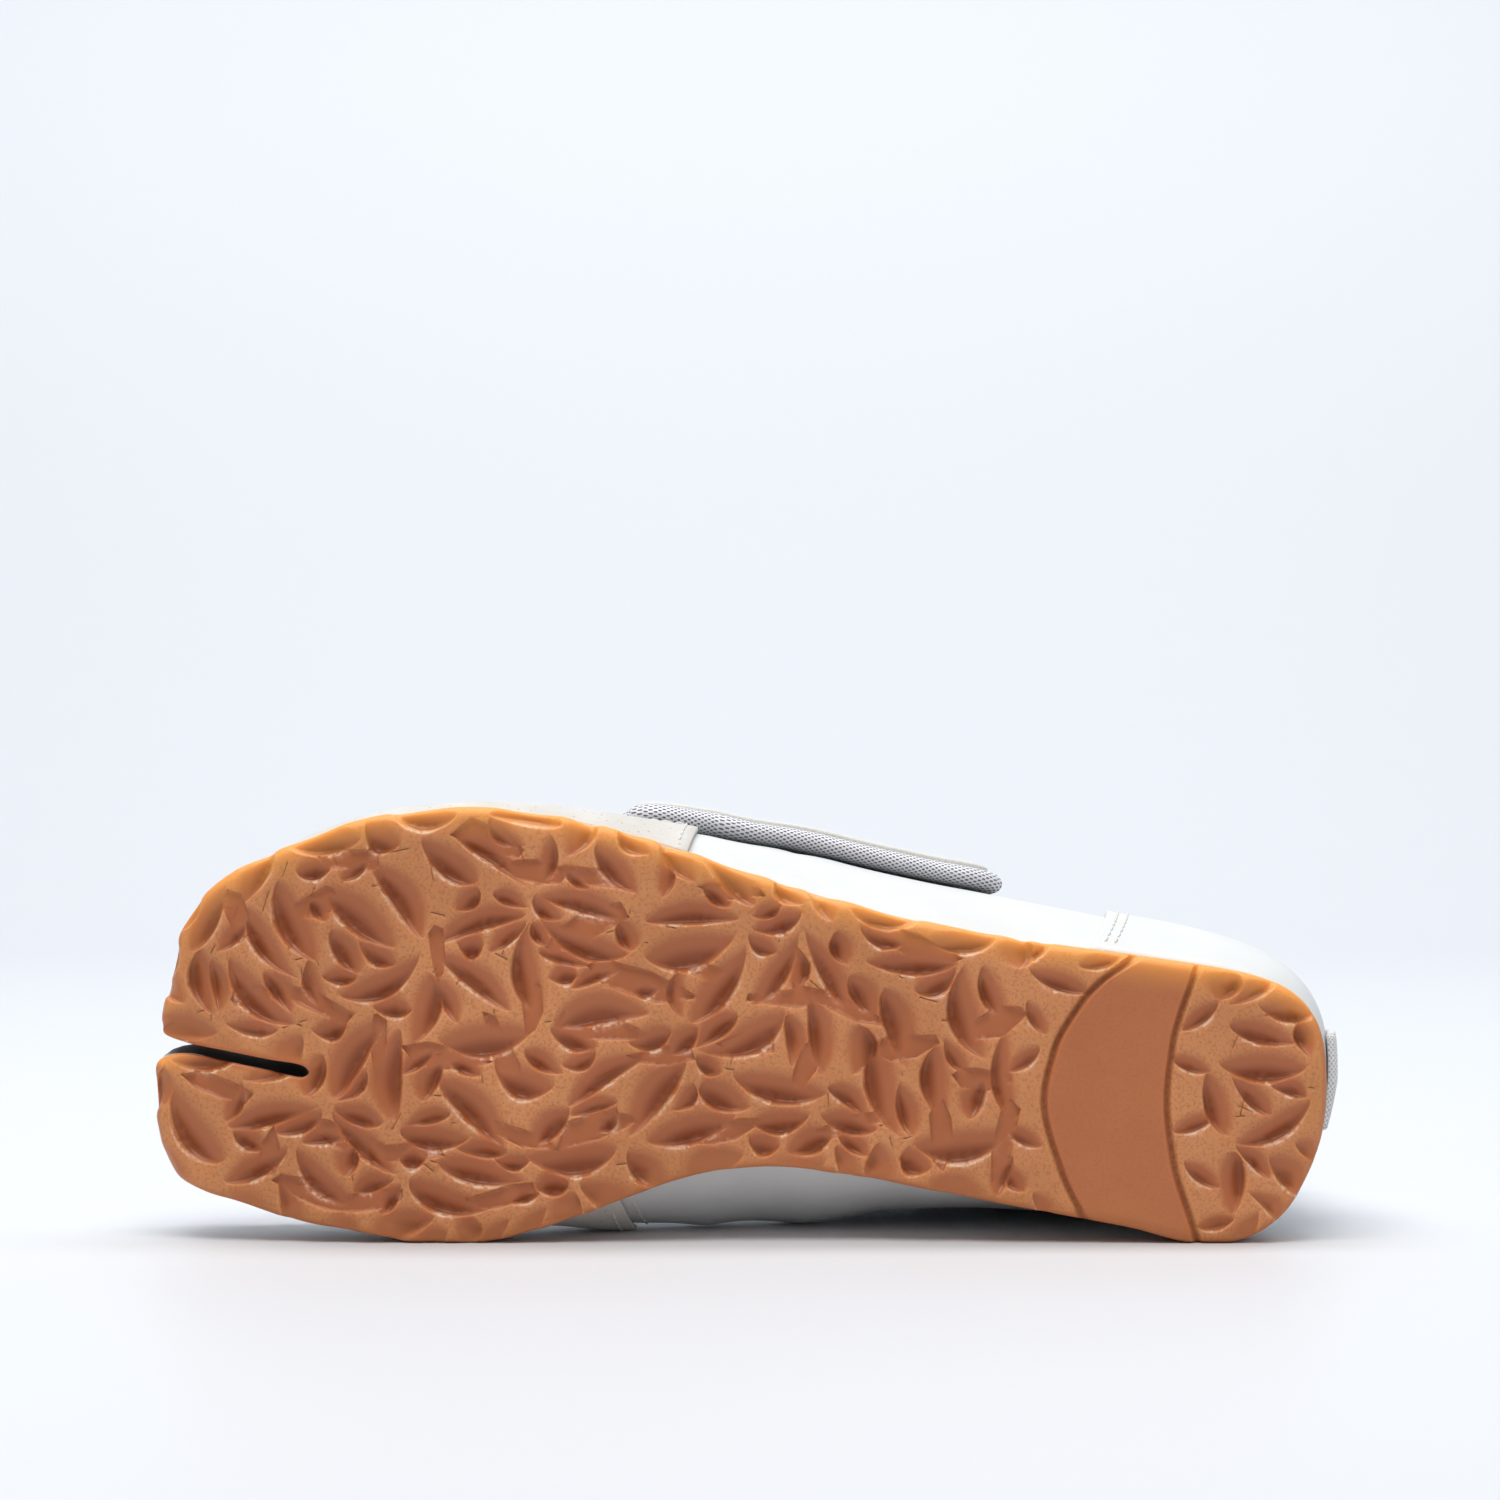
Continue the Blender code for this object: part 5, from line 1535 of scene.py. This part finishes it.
def build_tab():
    """Webbing strip up the back seam."""
    walk = [("outer", p) for p in TAB_ROWS] + [("inner", p) for p in TAB_ROWS[-2::-1]]
    grid = [[wall(side, p, t) for t in TAB_LEVELS] for side, p in walk]
    step_top = wall("outer", 2.0, COUNTER_BACK_TOP).z + TAB_STEP_TOP
    flat = lift(sheet([(grid, 1)]), lambda point: (
        MEET_GAP + (OVERLAY + MEET_GAP) * clamp((step_top - point.z) / TAB_STEP)))
    webbing = knit("scene_pale_webbing", (0.90, 0.90, 0.91), (0.62, 0.62, 0.63), 0.7, 1.3)
    place("webbing_tab", shell(flat, 0.0, TAB_THICK, TAB_BULGE), webbing, "grey_webbing", "heel_tab")


def build_footbed():
    """Insole with a rounded knit face."""
    loop = inset(Rim(8, INSOLE_SETBACK).points, FEATHER_INSET + UPPER_WALL + INSOLE_GAP)
    near = Near(grow(loop, INSOLE_EDGE_PITCH))
    plan = Plan()
    plan.line(loop, True)
    for i in range(int(SOLE_LENGTH / INSOLE_GRID)):
        for j in range(int(SOLE_WIDTH / INSOLE_GRID)):
            q = Vector((i * INSOLE_GRID, j * INSOLE_GRID + INSOLE_GRID / 2 * (i % 2)))
            if inside(q, loop) and near.away(q) > INSOLE_GRID / 2:
                plan.points.append(q)
    corners, faces, origins = plan.faces()
    mesh = bmesh.new()
    weave = mesh.verts.layers.float_vector.new("weave")
    layers = []
    for rise, drop in ((MEET_GAP, 0.0), (MEET_GAP + INSOLE_THICK, INSOLE_ROUND)):
        layers.append([])
        for q in corners:
            soft = drop * max(0.0, 1 - near.away(q) / INSOLE_ROUND_REACH) ** 2
            vert = mesh.verts.new((q.x, q.y, SOLE_SIDE.at(q.x)["top"] + rise - soft))
            vert[weave] = (q.x, q.y, 0.0)
            layers[-1].append(vert)
    under, over = layers
    for face in faces:
        mesh.faces.new([under[i] for i in reversed(face)])
        mesh.faces.new([over[i] for i in face])
    first = {k: i for i, ids in enumerate(origins) for k in ids if k < len(loop)}
    for i in range(len(loop)):
        a, b = first[i], first[(i + 1) % len(loop)]
        mesh.faces.new([under[b], under[a], over[a], over[b]])
    bmesh.ops.recalc_face_normals(mesh, faces=mesh.faces[:])
    lining = knit("scene_insole_knit", (0.42, 0.41, 0.42), (0.2, 0.2, 0.2), 0.7, 1.6)
    place("footbed", mesh, lining, "grey_mesh", "insole")


# Stitches
STITCH_PITCH = 3.2
STITCH_LENGTH = 2.4
STITCH_WIDTH = 0.55
STITCH_RISE = 0.3
STITCH_SINK = 0.12
CAP_SEAM = 0.028
COUNTER_SEAMS = (0.012, 0.026)
COLLAR_SEAM = 0.955


def stitch_run(mesh, walk, rise):
    """Row of stitches on a walk over the skin, raised off it; each one is a short arched thread."""
    normals = [skin_normal(side, p, t) for side, p, t in walk]
    line = [skin(*step) + normal * rise for step, normal in zip(walk, normals)]
    reach = lengths(line)
    profile = oval(STITCH_WIDTH, STITCH_WIDTH, 6)
    start = STITCH_PITCH / 2
    while start + STITCH_LENGTH < reach[-1]:
        arch, ups = [], []
        for t in steps(5):
            length = start + STITCH_LENGTH * t
            k = min(max(int(np.searchsorted(reach, length)) - 1, 0), len(line) - 2)
            share = (length - reach[k]) / max(reach[k + 1] - reach[k], 1e-6)
            ups.append(normals[k].lerp(normals[k + 1], share).normalized())
            lifted = STITCH_RISE * math.sin(math.pi * t) - STITCH_SINK
            arch.append(line[k].lerp(line[k + 1], share) + ups[-1] * lifted)
        sweep(mesh, arch, ups, profile)
        start += STITCH_PITCH


def build_stitches():
    """Thread along the toe cap's back edge, the counter's front edges and the collar."""
    thread = spun("scene_thread", (0.74, 0.73, 0.69), 0.6, 2600.0, (0.66, 0.65, 0.61), (0.80, 0.79, 0.75))
    mesh = bmesh.new()
    for side in WALLS:
        walk = [(side, cap_row(side, 1.0, t) - CAP_SEAM, t) for t in steps(60, 0.05, 1.0)]
        walk += [(side, cap_row(side, 1.0, 1.0) - CAP_SEAM, 1 + v) for v in steps(30)[1:]]
        stitch_run(mesh, walk, MEET_GAP + OVERLAY)
        for shift in COUNTER_SEAMS:
            walk = [(side, COUNTER_LOW + (COUNTER_HIGH - COUNTER_LOW) * t / COUNTER_TOP + shift, t)
                    for t in steps(40, 0.04, COUNTER_TOP - 0.02)]
            stitch_run(mesh, walk, MEET_GAP + OVERLAY)
        stitch_run(mesh, [(side, p, COLLAR_SEAM) for p in steps(80, 1.46, 1.985)], 0.0)
    walk = [("inner", cap_row("inner", 1.0, t) + CAP_SEAM, t) for t in steps(40, 0.05, 0.75)]
    stitch_run(mesh, walk, 0.0)
    place("stitches", mesh, thread, "grey_webbing")


# Studio
CAMERA_PLACE = (-0.0007, -0.9847, 0.1091)
CAMERA_LENS = 100.0
CAMERA_SENSOR = 36.0
PAPER = (0.70, 0.715, 0.74)
PAPER_HALF = 4.0
PAPER_FRONT = -3.0
PAPER_BACK = 1.2
PAPER_BEND = 0.9
PAPER_TOP = 4.0
WORLD_COLOUR = (0.93, 0.96, 1.0, 1.0)
WORLD_LIGHT = 0.38
# Lights: name, size, power, colour, place, aim.
LAMPS = (
    ("key_softbox", (0.9, 0.7), 11.0, (1.0, 0.985, 0.96), (-0.1, -0.45, 1.25), (0.0, -0.03, 0.05)),
    ("backdrop_wash", (3.0, 1.0), 51.5, (0.95, 0.97, 1.0), (0.0, 0.5, 2.2), (0.0, 1.9, 0.5)),
)


def lamp(name, size, energy, colour, spot, aim):
    """Rectangular soft light that looks at a point."""
    data = bpy.data.lights.new(name, "AREA")
    data.shape = "RECTANGLE"
    data.size, data.size_y = size
    data.energy = energy
    data.color = colour
    made = add(name, data)
    made.location = spot
    made.rotation_euler = (Vector(aim) - Vector(spot)).to_track_quat("-Z", "Y").to_euler()


def build_backdrop():
    """Pale seamless floor that curves up behind."""
    paper = finish("seamless_paper", PAPER, 0.5)[0]
    profile = [(PAPER_FRONT, 0.0), (PAPER_BACK, 0.0)]
    profile += [(PAPER_BACK + PAPER_BEND * math.sin(a), PAPER_BEND - PAPER_BEND * math.cos(a))
                for a in steps(24, 0.0, math.pi / 2)[1:]]
    profile += [(PAPER_BACK + PAPER_BEND, PAPER_TOP)]
    mesh = bmesh.new()
    rows = [[mesh.verts.new((x, y, z)) for y, z in profile] for x in (-PAPER_HALF, PAPER_HALF)]
    for i in range(len(profile) - 1):
        mesh.faces.new([rows[0][i], rows[1][i], rows[1][i + 1], rows[0][i + 1]])
    backdrop = add_mesh("seamless", mesh, paper)


def build_studio():
    """Backdrop, soft light from above and the photograph's camera."""
    build_backdrop()
    world = bpy.data.worlds.new("studio")
    world.use_nodes = True
    world.node_tree.nodes["Background"].inputs["Color"].default_value = WORLD_COLOUR
    world.node_tree.nodes["Background"].inputs["Strength"].default_value = WORLD_LIGHT
    bpy.context.scene.world = world
    for row in LAMPS:
        lamp(*row)
    eye = bpy.data.cameras.new("camera")
    eye.lens = CAMERA_LENS
    eye.sensor_width = CAMERA_SENSOR
    camera = add("camera", eye)
    camera.location = CAMERA_PLACE
    camera.rotation_euler = (math.pi / 2, 0.0, 0.0)
    bpy.context.scene.camera = camera
    bpy.context.scene.view_settings.view_transform = "Standard"


def main():
    """Dresses the shoe and sets the studio."""
    leather = white_leather()
    build_sole()
    build_upper(leather)
    build_toe_cap()
    build_counter(leather)
    build_strap(leather)
    build_tab()
    build_footbed()
    build_collar(leather)
    build_stitches()
    build_studio()


main()
